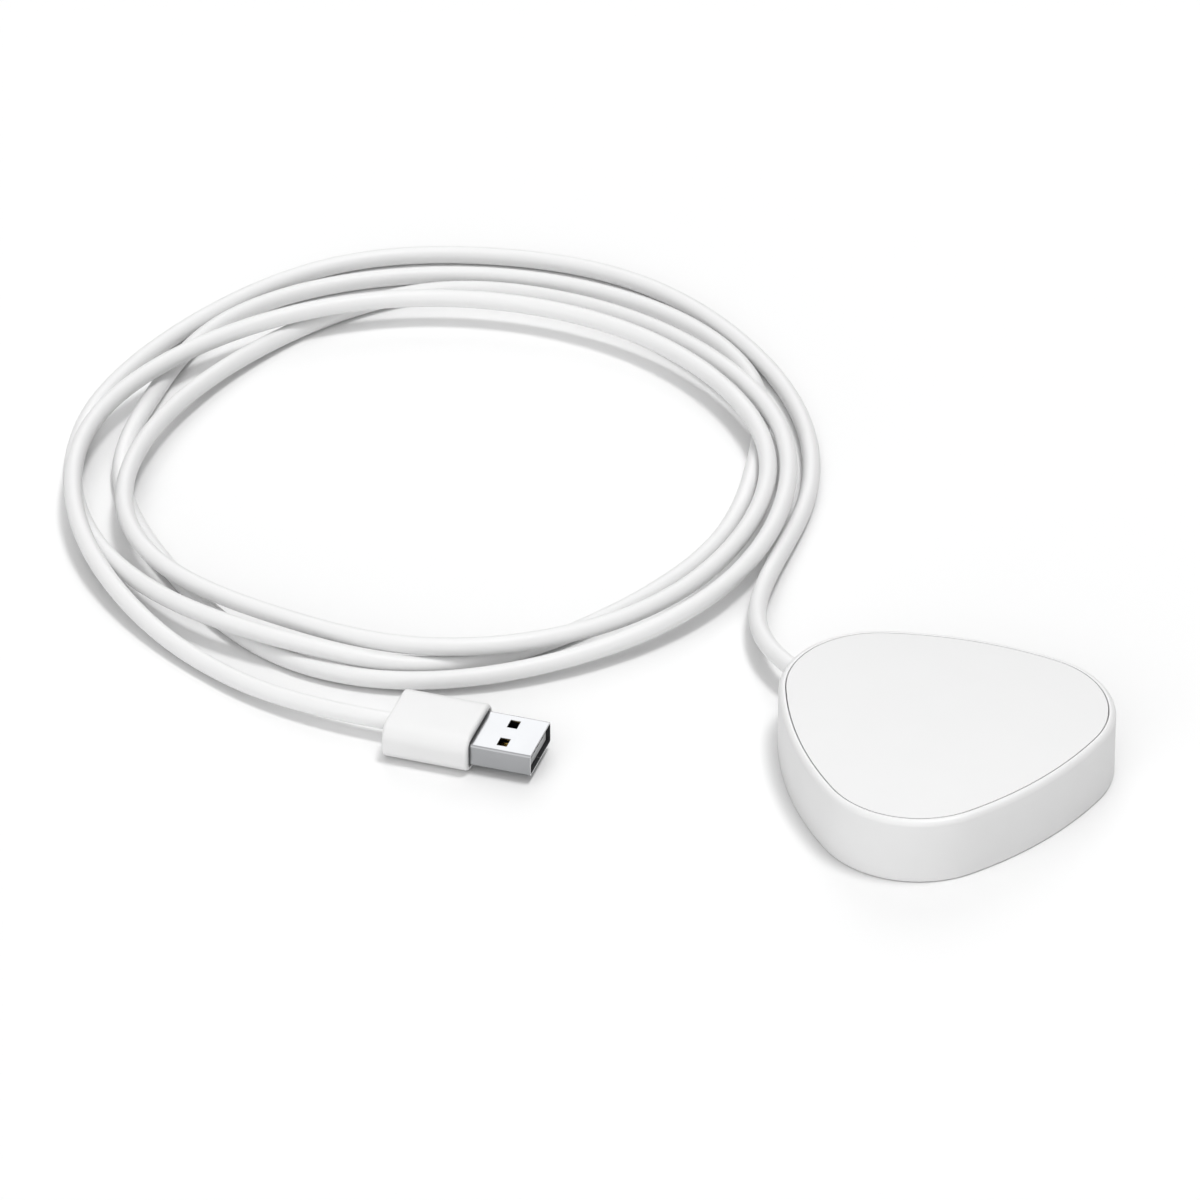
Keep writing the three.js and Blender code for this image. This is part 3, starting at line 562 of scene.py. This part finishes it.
def rounded_rectangle(width, height, radius, steps):
    """A rectangle with round corners about the origin, with the outward direction at each point."""
    x, y = width / 2 - radius, height / 2 - radius
    stations = []
    for quarter, (centre_x, centre_y) in enumerate(((x, y), (-x, y), (-x, -y), (x, -y))):
        start = quarter * math.pi / 2
        for i in range(steps + 1):
            angle = start + (math.pi / 2) * i / steps
            out_x, out_y = math.cos(angle), math.sin(angle)
            stations.append((centre_x + radius * out_x, centre_y + radius * out_y, out_x, out_y))
    return stations


def fillet(corner_inset, corner_height, radius, start, steps=6):
    """A quarter circle as (inset, height) points.

    start is "wall" to run up into a flat, and "flat" to run down a wall.
    """
    points = []
    for i in range(steps + 1):
        angle = (math.pi / 2) * i / steps
        if start == "wall":
            inset = corner_inset + radius * (1 - math.cos(angle))
            height = corner_height - radius * (1 - math.sin(angle))
        else:
            inset = corner_inset - radius * (1 - math.sin(angle))
            height = corner_height - radius * (1 - math.cos(angle))
        points.append((inset, height))
    return points


def add_rings(shape, stations, profile):
    """Adds a ring of points round the outline for each (inset, height) of a profile."""
    return [
        [
            shape.verts.new((x - out_x * inset, y - out_y * inset, height))
            for x, y, out_x, out_y in stations
        ]
        for inset, height in profile
    ]


def bridge(shape, low, high):
    """Joins two rings of points with a band of faces."""
    count = len(low)
    for i in range(count):
        j = (i + 1) % count
        shape.faces.new((low[i], low[j], high[j], high[i]))


def close_ends(shape, rings):
    """Caps the first and the last ring."""
    shape.faces.new(list(reversed(rings[0])))
    shape.faces.new(rings[-1])


def sweep(shape, stations, profile, closed):
    """Sweeps a profile that runs up the outside round an outline, as a closed ring or a capped block."""
    rings = add_rings(shape, stations, profile)
    for low, high in zip(rings, rings[1:]):
        bridge(shape, low, high)
    if closed:
        bridge(shape, rings[-1], rings[0])
    else:
        close_ends(shape, rings)


def prism(shape, near, far):
    """Adds a solid between two outlines with the same number of points."""
    near = [shape.verts.new(point) for point in near]
    far = [shape.verts.new(point) for point in far]
    bridge(shape, near, far)
    shape.faces.new(near)
    shape.faces.new(far)


def skirt_round(radius, bottom, steps=4):
    """The rounded bottom edge of the wall as (distance from the edge's start, height) points."""
    points = []
    for i in range(steps + 1):
        angle = (math.pi / 2) * i / steps
        points.append((radius * math.sin(angle), bottom + radius * (1 - math.cos(angle))))
    return points


def cord_exit():
    """Where the cord leaves the pad's wall."""
    low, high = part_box("cord_tail")
    return (0, high.y, (low.z + high.z) / 2)


def plug_place(plug):
    """The plug's own frame: x along the plug towards its tip, with 0 at the grip's front face."""
    low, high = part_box("plug_shell")
    heading = Vector((math.cos(plug.heading), math.sin(plug.heading), 0))
    ahead = (plug.shell_reach - plug.shell_depth) / 2
    front = (low + high) / 2 - heading * ahead
    return Matrix.Translation(front) @ Matrix.Rotation(plug.heading, 4, "Z")


def along_plug(plug):
    """Turns a shape that was swept upwards so that its height runs along the plug."""
    return plug_place(plug) @ Matrix(((0, 0, 1, 0), (1, 0, 0, 0), (0, 1, 0, 0), (0, 0, 0, 1)))


def towards(azimuth, elevation):
    """The direction at an azimuth from +X and an elevation, both in degrees."""
    a, e = math.radians(azimuth), math.radians(elevation)
    return Vector((math.cos(a) * math.cos(e), math.sin(a) * math.cos(e), math.sin(e)))


def finish_mesh(name, shape, surface, place=Matrix.Identity(4), sharp=math.radians(32)):
    """Turns a bmesh into a smooth-shaded object whose edges above an angle stay sharp."""
    bmesh.ops.recalc_face_normals(shape, faces=shape.faces)
    shape.transform(place)
    mesh = bpy.data.meshes.new(name)
    shape.to_mesh(mesh)
    shape.free()
    for face in mesh.polygons:
        face.use_smooth = True
    mesh.set_sharp_from_angle(angle=sharp)
    mesh.materials.append(surface)
    piece = bpy.data.objects.new(name, mesh)
    bpy.context.scene.collection.objects.link(piece)
    return piece


def settle(piece, slot_name, *nodes):
    """Rides a piece on the frame and hides the CAD nodes that it stands for."""
    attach(piece, "root")
    if nodes:
        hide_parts(*nodes)
    return piece


def apply_modifiers(piece):
    """Bakes a piece's modifiers into its mesh."""
    bpy.context.view_layer.update()
    graph = bpy.context.evaluated_depsgraph_get()
    mesh = bpy.data.meshes.new_from_object(piece.evaluated_get(graph))
    mesh.name = piece.name
    piece.modifiers.clear()
    piece.data = mesh
    return piece


def dress(surface, *nodes):
    """Gives CAD nodes that stay in view of their own a finish."""
    for name in nodes:
        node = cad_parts[name]
        if not node.material_slots:
            node.data.materials.append(surface)
        for holder in node.material_slots:
            holder.material = surface


# ---------------------------------------------------------------- operators


SENSOR_WIDTH, FOCAL_LENGTH = 36.0, 300.0  # both in mm, as Blender keeps them
FLOOR_DROP = 0.02 * MM  # keeps the floor from touching what stands on it
KEY_TOWARDS = (-44, 79)  # azimuth from +X and elevation, in degrees
KEY_WIDTH = 14  # degrees
KEY_STRENGTH = 1.3
AMBIENT = 0.08  # radiance of the sky between the cards
# Each card: azimuth from +X, elevation, angle where it fades out, angle where it is full, radiance.
# The low one in front shapes the walls, and the small one behind is what the plated shell mirrors.
SKY_CARDS = ((204, 18, 60, 5, 1.5), (46, 36, 24, 10, 2.4), (0, 90, 50, 10, 0.95))


class CHARGER_OT_stage(bpy.types.Operator):
    """Make the camera, the floor and the soft studio light"""

    bl_idname = "charger.stage"
    bl_label = "Stage"

    def execute(self, context):
        scene = context.scene
        stage = scene.charger_stage
        self.add_camera(scene, stage)
        self.add_floor(stage)
        self.add_lights(scene)
        scene.view_settings.view_transform = "Standard"
        return {"FINISHED"}

    def add_camera(self, scene, stage):
        flat = math.cos(stage.elevation)
        back = Vector(
            (-math.sin(stage.azimuth) * flat, -math.cos(stage.azimuth) * flat, math.sin(stage.elevation))
        )
        lens = bpy.data.cameras.new("camera")
        lens.sensor_width = SENSOR_WIDTH
        lens.lens = FOCAL_LENGTH
        camera = bpy.data.objects.new("camera", lens)
        camera.location = Vector(stage.aim) + back * stage.distance
        camera.rotation_mode = "QUATERNION"
        camera.rotation_quaternion = (-back).to_track_quat("-Z", "Y")
        scene.collection.objects.link(camera)
        scene.camera = camera

    def add_floor(self, stage):
        shape = bmesh.new()
        bmesh.ops.create_grid(shape, x_segments=1, y_segments=1, size=stage.floor_size / 2)
        just_below = Matrix.Translation((0, 0, -FLOOR_DROP))
        floor = finish_mesh("studio_floor", shape, painted_floor(stage.floor_colour), just_below)

    def add_lights(self, scene):
        """A broad key almost overhead, and a sky that is brightest in front on the left."""
        lamp = bpy.data.lights.new("key", "SUN")
        lamp.angle = math.radians(KEY_WIDTH)
        lamp.energy = KEY_STRENGTH
        key = bpy.data.objects.new("key", lamp)
        key.rotation_mode = "QUATERNION"
        key.rotation_quaternion = towards(*KEY_TOWARDS).to_track_quat("Z", "Y")
        scene.collection.objects.link(key)
        world = bpy.data.worlds.new("studio")
        world.use_nodes = True
        tree = world.node_tree
        sky = tree.nodes["Background"]
        place = add_node(tree, "ShaderNodeTexCoord")
        level = None
        for azimuth, elevation, outer, inner, radiance in SKY_CARDS:
            toward = add_node(
                tree,
                "ShaderNodeVectorMath",
                {1: towards(azimuth, elevation)},
                {0: place.outputs["Generated"]},
                operation="DOT_PRODUCT",
            )
            card = add_node(
                tree,
                "ShaderNodeMapRange",
                {
                    "From Min": math.cos(math.radians(outer)),
                    "From Max": math.cos(math.radians(inner)),
                    "To Max": radiance,
                },
                {"Value": toward.outputs["Value"]},
                interpolation_type="SMOOTHSTEP",
            )
            links = {0: card.outputs["Result"]}
            if level:
                links[1] = level.outputs["Value"]
            level = add_node(tree, "ShaderNodeMath", {1: AMBIENT}, links, operation="ADD")
        tree.links.new(level.outputs["Value"], sky.inputs["Strength"])
        sky.inputs["Color"].default_value = linear("FFFFFF")
        scene.world = world


class CHARGER_OT_cord(bpy.types.Operator):
    """Lay the cord at its full length, from the pad's wall into the plug's grip"""

    bl_idname = "charger.cord"
    bl_label = "Cord"

    def execute(self, context):
        cord, plug = context.scene.charger_cord, context.scene.charger_plug
        start = Vector(cord_exit())
        heading = Vector((math.cos(plug.heading), math.sin(plug.heading), 0))
        end = plug_place(plug).translation - heading * (plug.grip_length - cord.overlap)
        lead_out = start + Vector((0, cord.lead_out, -cord.lead_out_drop))
        lead_in = end - heading * (cord.lead_in + cord.overlap) - Vector((0, 0, cord.lead_in_drop))
        controls = [start, lead_out, *map(Vector, LOOPS), lead_in, end]

        line = bpy.data.curves.new("charging_cord", "CURVE")
        line.dimensions = "3D"
        line.bevel_depth = cord.diameter / 2
        line.bevel_resolution = 6
        line.use_fill_caps = True
        spline = line.splines.new("NURBS")
        spline.points.add(len(controls) - 1)
        for point, control in zip(spline.points, controls):
            point.co = (*control, 1)
        spline.order_u = 4
        spline.use_endpoint_u = True
        spline.resolution_u = 12
        line.materials.append(extruded_tpe(cord.colour))
        piece = bpy.data.objects.new("charging_cord", line)
        context.scene.collection.objects.link(piece)
        settle(piece, "cord_jacket", "cord")
        return {"FINISHED"}


class CHARGER_OT_housing(bpy.types.Operator):
    """Make the wall, the rounded rim and the ledge inside it, with the hole for the cord"""

    bl_idname = "charger.housing"
    bl_label = "Housing"

    def execute(self, context):
        pad = context.scene.charger_pad
        low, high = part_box("housing")
        top, bottom = high.z, low.z
        joint_floor = top - pad.joint_depth
        wall, rebate, rebate_top = 1.8 * MM, 1.2 * MM, 2.4 * MM
        ledge_width, ledge_thickness, ledge_slope = 1.5 * MM, 1.2 * MM, 0.4 * MM
        ledge_edge = wall + ledge_width
        ledge_bottom = joint_floor - ledge_thickness
        profile = [(rebate, bottom)]
        profile += [(pad.skirt_edge - i, h) for i, h in skirt_round(pad.skirt_edge, bottom)]
        profile += fillet(0, top, pad.rim_fillet, "wall", steps=14)
        profile += fillet(pad.rim_width, top, pad.rim_edge, "flat", steps=5)
        profile += [
            (pad.rim_width, joint_floor),
            (ledge_edge, joint_floor),
            (ledge_edge, ledge_bottom + ledge_slope),
            (wall, ledge_bottom),
            (wall, rebate_top),
            (rebate, rebate_top),
        ]
        shape = bmesh.new()
        sweep(shape, pad_outline(pad), profile, closed=True)
        surface = moulded_polycarbonate(pad.housing_colour)
        housing = finish_mesh("pad_housing", shape, surface, Matrix.Translation(pad_middle(pad)))
        self.cut_cord_hole(housing)
        settle(housing, "housing_plastic", "housing")
        return {"FINISHED"}

    def cut_cord_hole(self, housing):
        hole_radius, hole_depth = 2.7 * MM, 8 * MM
        shape = bmesh.new()
        bmesh.ops.create_cone(
            shape,
            cap_ends=True,
            segments=48,
            radius1=hole_radius,
            radius2=hole_radius,
            depth=hole_depth,
        )
        across = Matrix.Translation(cord_exit()) @ Matrix.Rotation(math.pi / 2, 4, "X")
        cutter = finish_mesh("cord_hole_cutter", shape, housing.data.materials[0], across)
        cut = housing.modifiers.new("cord hole", "BOOLEAN")
        cut.operation = "DIFFERENCE"
        cut.solver = "EXACT"
        cut.object = cutter
        apply_modifiers(housing)
        bpy.data.objects.remove(cutter)


class CHARGER_OT_top_plate(bpy.types.Operator):
    """Make the flat charging face that lies level with the rim"""

    bl_idname = "charger.top_plate"
    bl_label = "Top plate"

    def execute(self, context):
        pad = context.scene.charger_pad
        low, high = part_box("top_plate")
        inset = pad.rim_width + pad.joint_width
        profile = [(inset, low.z)] + fillet(inset, high.z, pad.plate_edge, "wall", steps=4)
        shape = bmesh.new()
        sweep(shape, pad_outline(pad), profile, closed=False)
        surface = soft_touch_lacquer(pad.plate_colour)
        plate = finish_mesh("charging_plate", shape, surface, Matrix.Translation(pad_middle(pad)))
        settle(plate, "plate_plastic", "top_plate")
        return {"FINISHED"}


class CHARGER_OT_underside(bpy.types.Operator):
    """Make the foot and finish the base"""

    bl_idname = "charger.underside"
    bl_label = "Underside"

    def execute(self, context):
        pad = context.scene.charger_pad
        low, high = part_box("foot_pad")
        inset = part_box("housing")[1].x - high.x
        round_edge = 0.25 * MM
        profile = [(inset + round_edge - i, h) for i, h in skirt_round(round_edge, low.z, steps=5)]
        profile += [(inset, high.z)]
        shape = bmesh.new()
        sweep(shape, pad_outline(pad), profile, closed=False)
        surface = cast_silicone(pad.foot_colour)
        foot = finish_mesh("foot_sheet", shape, surface, Matrix.Translation(pad_middle(pad)))
        settle(foot, "foot_silicone", "foot_pad")
        dress(moulded_abs(pad.base_colour), "base_cover")
        return {"FINISHED"}


class CHARGER_OT_cord_entry(bpy.types.Operator):
    """Make the bush that closes the wall round the cord"""

    bl_idname = "charger.cord_entry"
    bl_label = "Cord entry"

    def execute(self, context):
        cord = context.scene.charger_cord
        low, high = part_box("cable_grommet")
        middle = (low.z + high.z) / 2
        bore = cord.diameter / 2 + 0.02 * MM
        sleeve, flange = 2.66 * MM, (high.z - low.z) / 2
        flange_front = low.y + 1.1 * MM
        lip, lip_steps = 0.25 * MM, 4
        profile = [(bore, low.y), (flange, low.y), (flange, flange_front), (sleeve, flange_front)]
        turns = [(math.pi / 2) * i / lip_steps for i in range(lip_steps + 1)]
        profile += [(sleeve - lip * (1 - math.cos(t)), high.y - lip * (1 - math.sin(t))) for t in turns]
        profile += [(bore + lip * (1 - math.sin(t)), high.y - lip * (1 - math.cos(t))) for t in turns]
        shape = bmesh.new()
        segments = 48
        around = [math.tau * i / segments for i in range(segments)]
        rings = [
            [shape.verts.new((radius * math.cos(a), along, middle + radius * math.sin(a))) for a in around]
            for radius, along in profile
        ]
        for near, far in zip(rings, rings[1:] + rings[:1]):
            bridge(shape, near, far)
        surface = overmoulded_tpe(cord.colour)
        surface.name = "moulded_bush_tpe"
        bush = finish_mesh("cord_bush", shape, surface)
        settle(bush, "cord_jacket", "cable_grommet")
        return {"FINISHED"}


class CHARGER_OT_grip(bpy.types.Operator):
    """Make the moulded grip, with its soft long sides and the pocket round the shell"""

    bl_idname = "charger.grip"
    bl_label = "Grip"

    def execute(self, context):
        plug = context.scene.charger_plug
        gap = plug.pocket_gap
        corner_steps, mouth_steps = 12, 4
        mouth_edge = 0.2 * MM
        pocket_back = -13.5 * MM
        outer = rounded_rectangle(plug.grip_width, plug.grip_thickness, plug.grip_side, corner_steps)
        pocket = rounded_rectangle(
            plug.shell_width + 2 * gap,
            plug.shell_thickness + 2 * gap,
            plug.shell_bend + gap,
            corner_steps,
        )
        profile = [
            (plug.grip_back_edge - i, -plug.grip_length + h)
            for i, h in skirt_round(plug.grip_back_edge, 0, steps=10)
        ]
        profile += fillet(0, 0, plug.grip_front_edge, "wall", steps=8)
        turns = [(math.pi / 2) * i / mouth_steps for i in range(mouth_steps + 1)]
        mouth = [(-mouth_edge * (1 - math.sin(t)), -mouth_edge * (1 - math.cos(t))) for t in turns]
        mouth.append((0, pocket_back))
        shape = bmesh.new()
        rings = add_rings(shape, outer, profile) + add_rings(shape, pocket, mouth)
        for low, high in zip(rings, rings[1:]):
            bridge(shape, low, high)
        close_ends(shape, rings)
        grip = finish_mesh("plug_grip", shape, overmoulded_tpe(plug.grip_colour), along_plug(plug))
        settle(grip, "grip_plastic", "plug_overmould")
        return {"FINISHED"}


class CHARGER_OT_shell(bpy.types.Operator):
    """Fold the steel shell, with its four windows and the seam underneath"""

    bl_idname = "charger.shell"
    bl_label = "Shell"

    def execute(self, context):
        plug = context.scene.charger_plug
        section = self.folded_section(plug)
        window_along, window_across = 1.9 * MM, 2.5 * MM
        window_middle, window_spread = 5.65 * MM, 3 * MM
        stops = (
            -plug.shell_depth,
            0.0,
            window_middle - window_along / 2,
            window_middle + window_along / 2,
            plug.shell_reach,
        )
        shape = bmesh.new()
        rows = [[shape.verts.new((x, y, z)) for y, z in section] for x in stops]
        flat = plug.shell_thickness / 2 - 0.01 * MM
        for near, far in zip(rows, rows[1:]):
            between = (near[0].co.x + far[0].co.x) / 2
            in_window_row = abs(between - window_middle) < window_along / 2
            for i in range(len(section) - 1):
                y = (section[i][0] + section[i + 1][0]) / 2
                on_flat = min(abs(section[i][1]), abs(section[i + 1][1])) > flat
                if in_window_row and on_flat and abs(abs(y) - window_spread) < window_across / 2:
                    continue
                shape.faces.new((near[i], near[i + 1], far[i + 1], far[i]))
        surface = nickel_plated_steel(plug.shell_colour, plug.heading)
        shell = finish_mesh("usb_shell", shape, surface)
        # The inside of the sheet takes dark painted shade, standing in for the unlit inside of the shell.
        shell.data.materials.append(shell_inside_painted_shade())
        # The cut edges of the sheet take a brighter copy of the metal as a painted highlight.
        shell.data.materials.append(strip_edge_painted_highlight())
        self.thicken(shell, plug)
        shell.data.transform(plug_place(plug))
        settle(shell, "shell_steel", "plug_shell")
        return {"FINISHED"}

    def folded_section(self, plug):
        """Open outline from one side of the seam round to the other, as (across, up) points."""
        seam_half = 0.03 * MM
        breaks = (1.75 * MM, 4.25 * MM)
        half_width, half_height = plug.shell_width / 2, plug.shell_thickness / 2
        bend = plug.shell_bend
        steps = 8
        side = [(seam_half, -half_height), (breaks[0], -half_height), (breaks[1], -half_height)]
        for start, middle in ((-math.pi / 2, bend - half_height), (0, half_height - bend)):
            for i in range(steps + 1):
                angle = start + (math.pi / 2) * i / steps
                across = half_width - bend + bend * math.cos(angle)
                side.append((across, middle + bend * math.sin(angle)))
        side += [(breaks[1], half_height), (breaks[0], half_height)]
        return side + [(-y, z) for y, z in reversed(side)]

    def thicken(self, shell, plug):
        sheet = shell.modifiers.new("sheet", "SOLIDIFY")
        sheet.thickness = plug.shell_wall
        sheet.offset = -1.0
        sheet.use_even_offset = True
        # The inner face of the sheet gets the dark painted shade.
        sheet.material_offset = 1
        # The rim of the sheet gets the bright painted highlight.
        sheet.material_offset_rim = 2
        edges = shell.modifiers.new("edges", "BEVEL")
        edges.width = 0.06 * MM
        edges.segments = 3
        edges.limit_method = "ANGLE"
        edges.angle_limit = math.radians(50)
        edges.harden_normals = True
        apply_modifiers(shell)


class CHARGER_OT_tongue(bpy.types.Operator):
    """Make the plastic tongue with its four contact strips in their channels"""

    bl_idname = "charger.tongue"
    bl_label = "Tongue"

    def execute(self, context):
        plug = context.scene.charger_plug
        back, front = -5.7 * MM, 11 * MM
        half_width, bottom, top = 5.55 * MM, -1.8 * MM, 0.0
        groove_half, groove_depth = 0.62 * MM, 0.12 * MM
        places = [y * MM for y in (-3.5, -1, 1, 3.5)]
        outline = [(-half_width, bottom), (half_width, bottom), (half_width, top)]
        for y in reversed(places):
            outline += [
                (y + groove_half, top),
                (y + groove_half, top - groove_depth),
                (y - groove_half, top - groove_depth),
                (y - groove_half, top),
            ]
        outline.append((-half_width, top))
        shape = bmesh.new()
        prism(shape, [(back, y, z) for y, z in outline], [(front, y, z) for y, z in outline])
        tongue = finish_mesh("usb_tongue", shape, moulded_pbt(plug.tongue_colour))
        self.ease_edges(tongue, 0.08 * MM)
        # The upward faces of the contact side take the near-black painted shade, so the mouth reads dark.
        tongue.data.materials.append(black_core_and_painted_shade())
        for face in tongue.data.polygons:
            if face.normal.z > 0.5 and face.center.z > top - 1.5 * groove_depth:
                face.material_index = 1
        tongue.data.transform(plug_place(plug))
        settle(tongue, "tongue_plastic", "plug_tongue")
        strip = gold_flashed_bronze()
        for number, y in enumerate(places, 1):
            shape = bmesh.new()
            self.contact_strip(shape, y)
            contact = finish_mesh(f"usb_contact_{number}", shape, strip)
            self.ease_edges(contact, 0.03 * MM)
            contact.data.transform(plug_place(plug))
            settle(contact, "contact_gold", f"plug_contact_{number}")
        return {"FINISHED"}

    def contact_strip(self, shape, y):
        """A strip that lies in its channel, with its front end turned down."""
        half, thickness, lift = 0.5 * MM, 0.2 * MM, 0.08 * MM
        back, bend, front, front_drop = -5 * MM, 9.6 * MM, 10.2 * MM, 0.1 * MM
        line = [(back, lift), (bend, lift), (front, -front_drop)]
        outline = line + [(x, z + thickness) for x, z in reversed(line)]
        prism(shape, [(x, y - half, z) for x, z in outline], [(x, y + half, z) for x, z in outline])

    def ease_edges(self, piece, width):
        edges = piece.modifiers.new("edges", "BEVEL")
        edges.width = width
        edges.segments = 2
        edges.limit_method = "ANGLE"
        edges.angle_limit = math.radians(40)
        apply_modifiers(piece)


class CHARGER_OT_inner_parts(bpy.types.Operator):
    """Finish the parts inside the pad and the plug"""

    bl_idname = "charger.inner_parts"
    bl_label = "Inner parts"

    def execute(self, context):
        low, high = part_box("charging_coil")
        copper = enamelled_copper((low + high) / 2)
        dress(copper, "charging_coil", "coil_lead_1", "coil_lead_2")
        dress(natural_nylon(), "coil_carrier", "cable_clamp", "wire_socket")
        dress(bpy.data.materials["black_core_and_painted_shade"], "plug_core")
        # The plug's inner core is near-black plastic, the same material that paints shade on the tongue.
        dress(sintered_ferrite(), "ferrite_shield", "power_inductor")
        dress(plated_neodymium(), "magnet_1", "magnet_2", "magnet_3")
        dress(solder_masked_laminate(), "circuit_board")
        dress(moulded_epoxy(), "controller_chip", "driver_chip_1", "driver_chip_2", "thermistor")
        dress(fired_ceramic(), *(f"resonant_capacitor_{i}" for i in (1, 2, 3, 4)))
        dress(drawn_aluminium(), "input_capacitor", "crystal")
        screws = [f"base_screw_{i}" for i in (1, 2, 3)]
        screws += [f"{place}_screw_{i}" for place in ("board", "clamp") for i in (1, 2)]
        dress(zinc_plated_steel(), *screws)
        dress(bpy.data.materials["extruded_tpe"], "cord_tail")
        wires = {
            "wire_power": ("pvc_red", "A83029"),
            "wire_data_minus": ("pvc_white", "E2E2DF"),
            "wire_data_plus": ("pvc_green", "2E7747"),
            "wire_ground": ("pvc_black", "222222"),
        }
        for node, (name, colour) in wires.items():
            dress(pvc_insulation(name, colour), node)
        return {"FINISHED"}


OPERATORS = (
    CHARGER_OT_stage,
    CHARGER_OT_cord,
    CHARGER_OT_housing,
    CHARGER_OT_top_plate,
    CHARGER_OT_underside,
    CHARGER_OT_cord_entry,
    CHARGER_OT_grip,
    CHARGER_OT_shell,
    CHARGER_OT_tongue,
    CHARGER_OT_inner_parts,
)


class VIEW3D_PT_charger(bpy.types.Panel):
    """Sizes and colours of the charging pad, and a button for each piece"""

    bl_idname = "VIEW3D_PT_charger"
    bl_label = "Wireless Charging Pad"
    bl_space_type = "VIEW_3D"
    bl_region_type = "UI"
    bl_category = "Charger"

    def draw(self, context):
        for operator in OPERATORS:
            self.layout.operator(operator.bl_idname)
        for name, group in SETTINGS.items():
            box = self.layout.box()
            for field in group.__annotations__:
                box.prop(getattr(context.scene, name), field)


CLASSES = (*SETTINGS.values(), *OPERATORS, VIEW3D_PT_charger)


def register():
    for cls in CLASSES:
        bpy.utils.register_class(cls)
    for name, group in SETTINGS.items():
        setattr(bpy.types.Scene, name, PointerProperty(type=group))


def unregister():
    for name in SETTINGS:
        delattr(bpy.types.Scene, name)
    for cls in reversed(CLASSES):
        bpy.utils.unregister_class(cls)


def main():
    register()
    for operator in OPERATORS:
        group, name = operator.bl_idname.split(".")
        getattr(getattr(bpy.ops, group), name)()


if __name__ == "__main__":
    main()
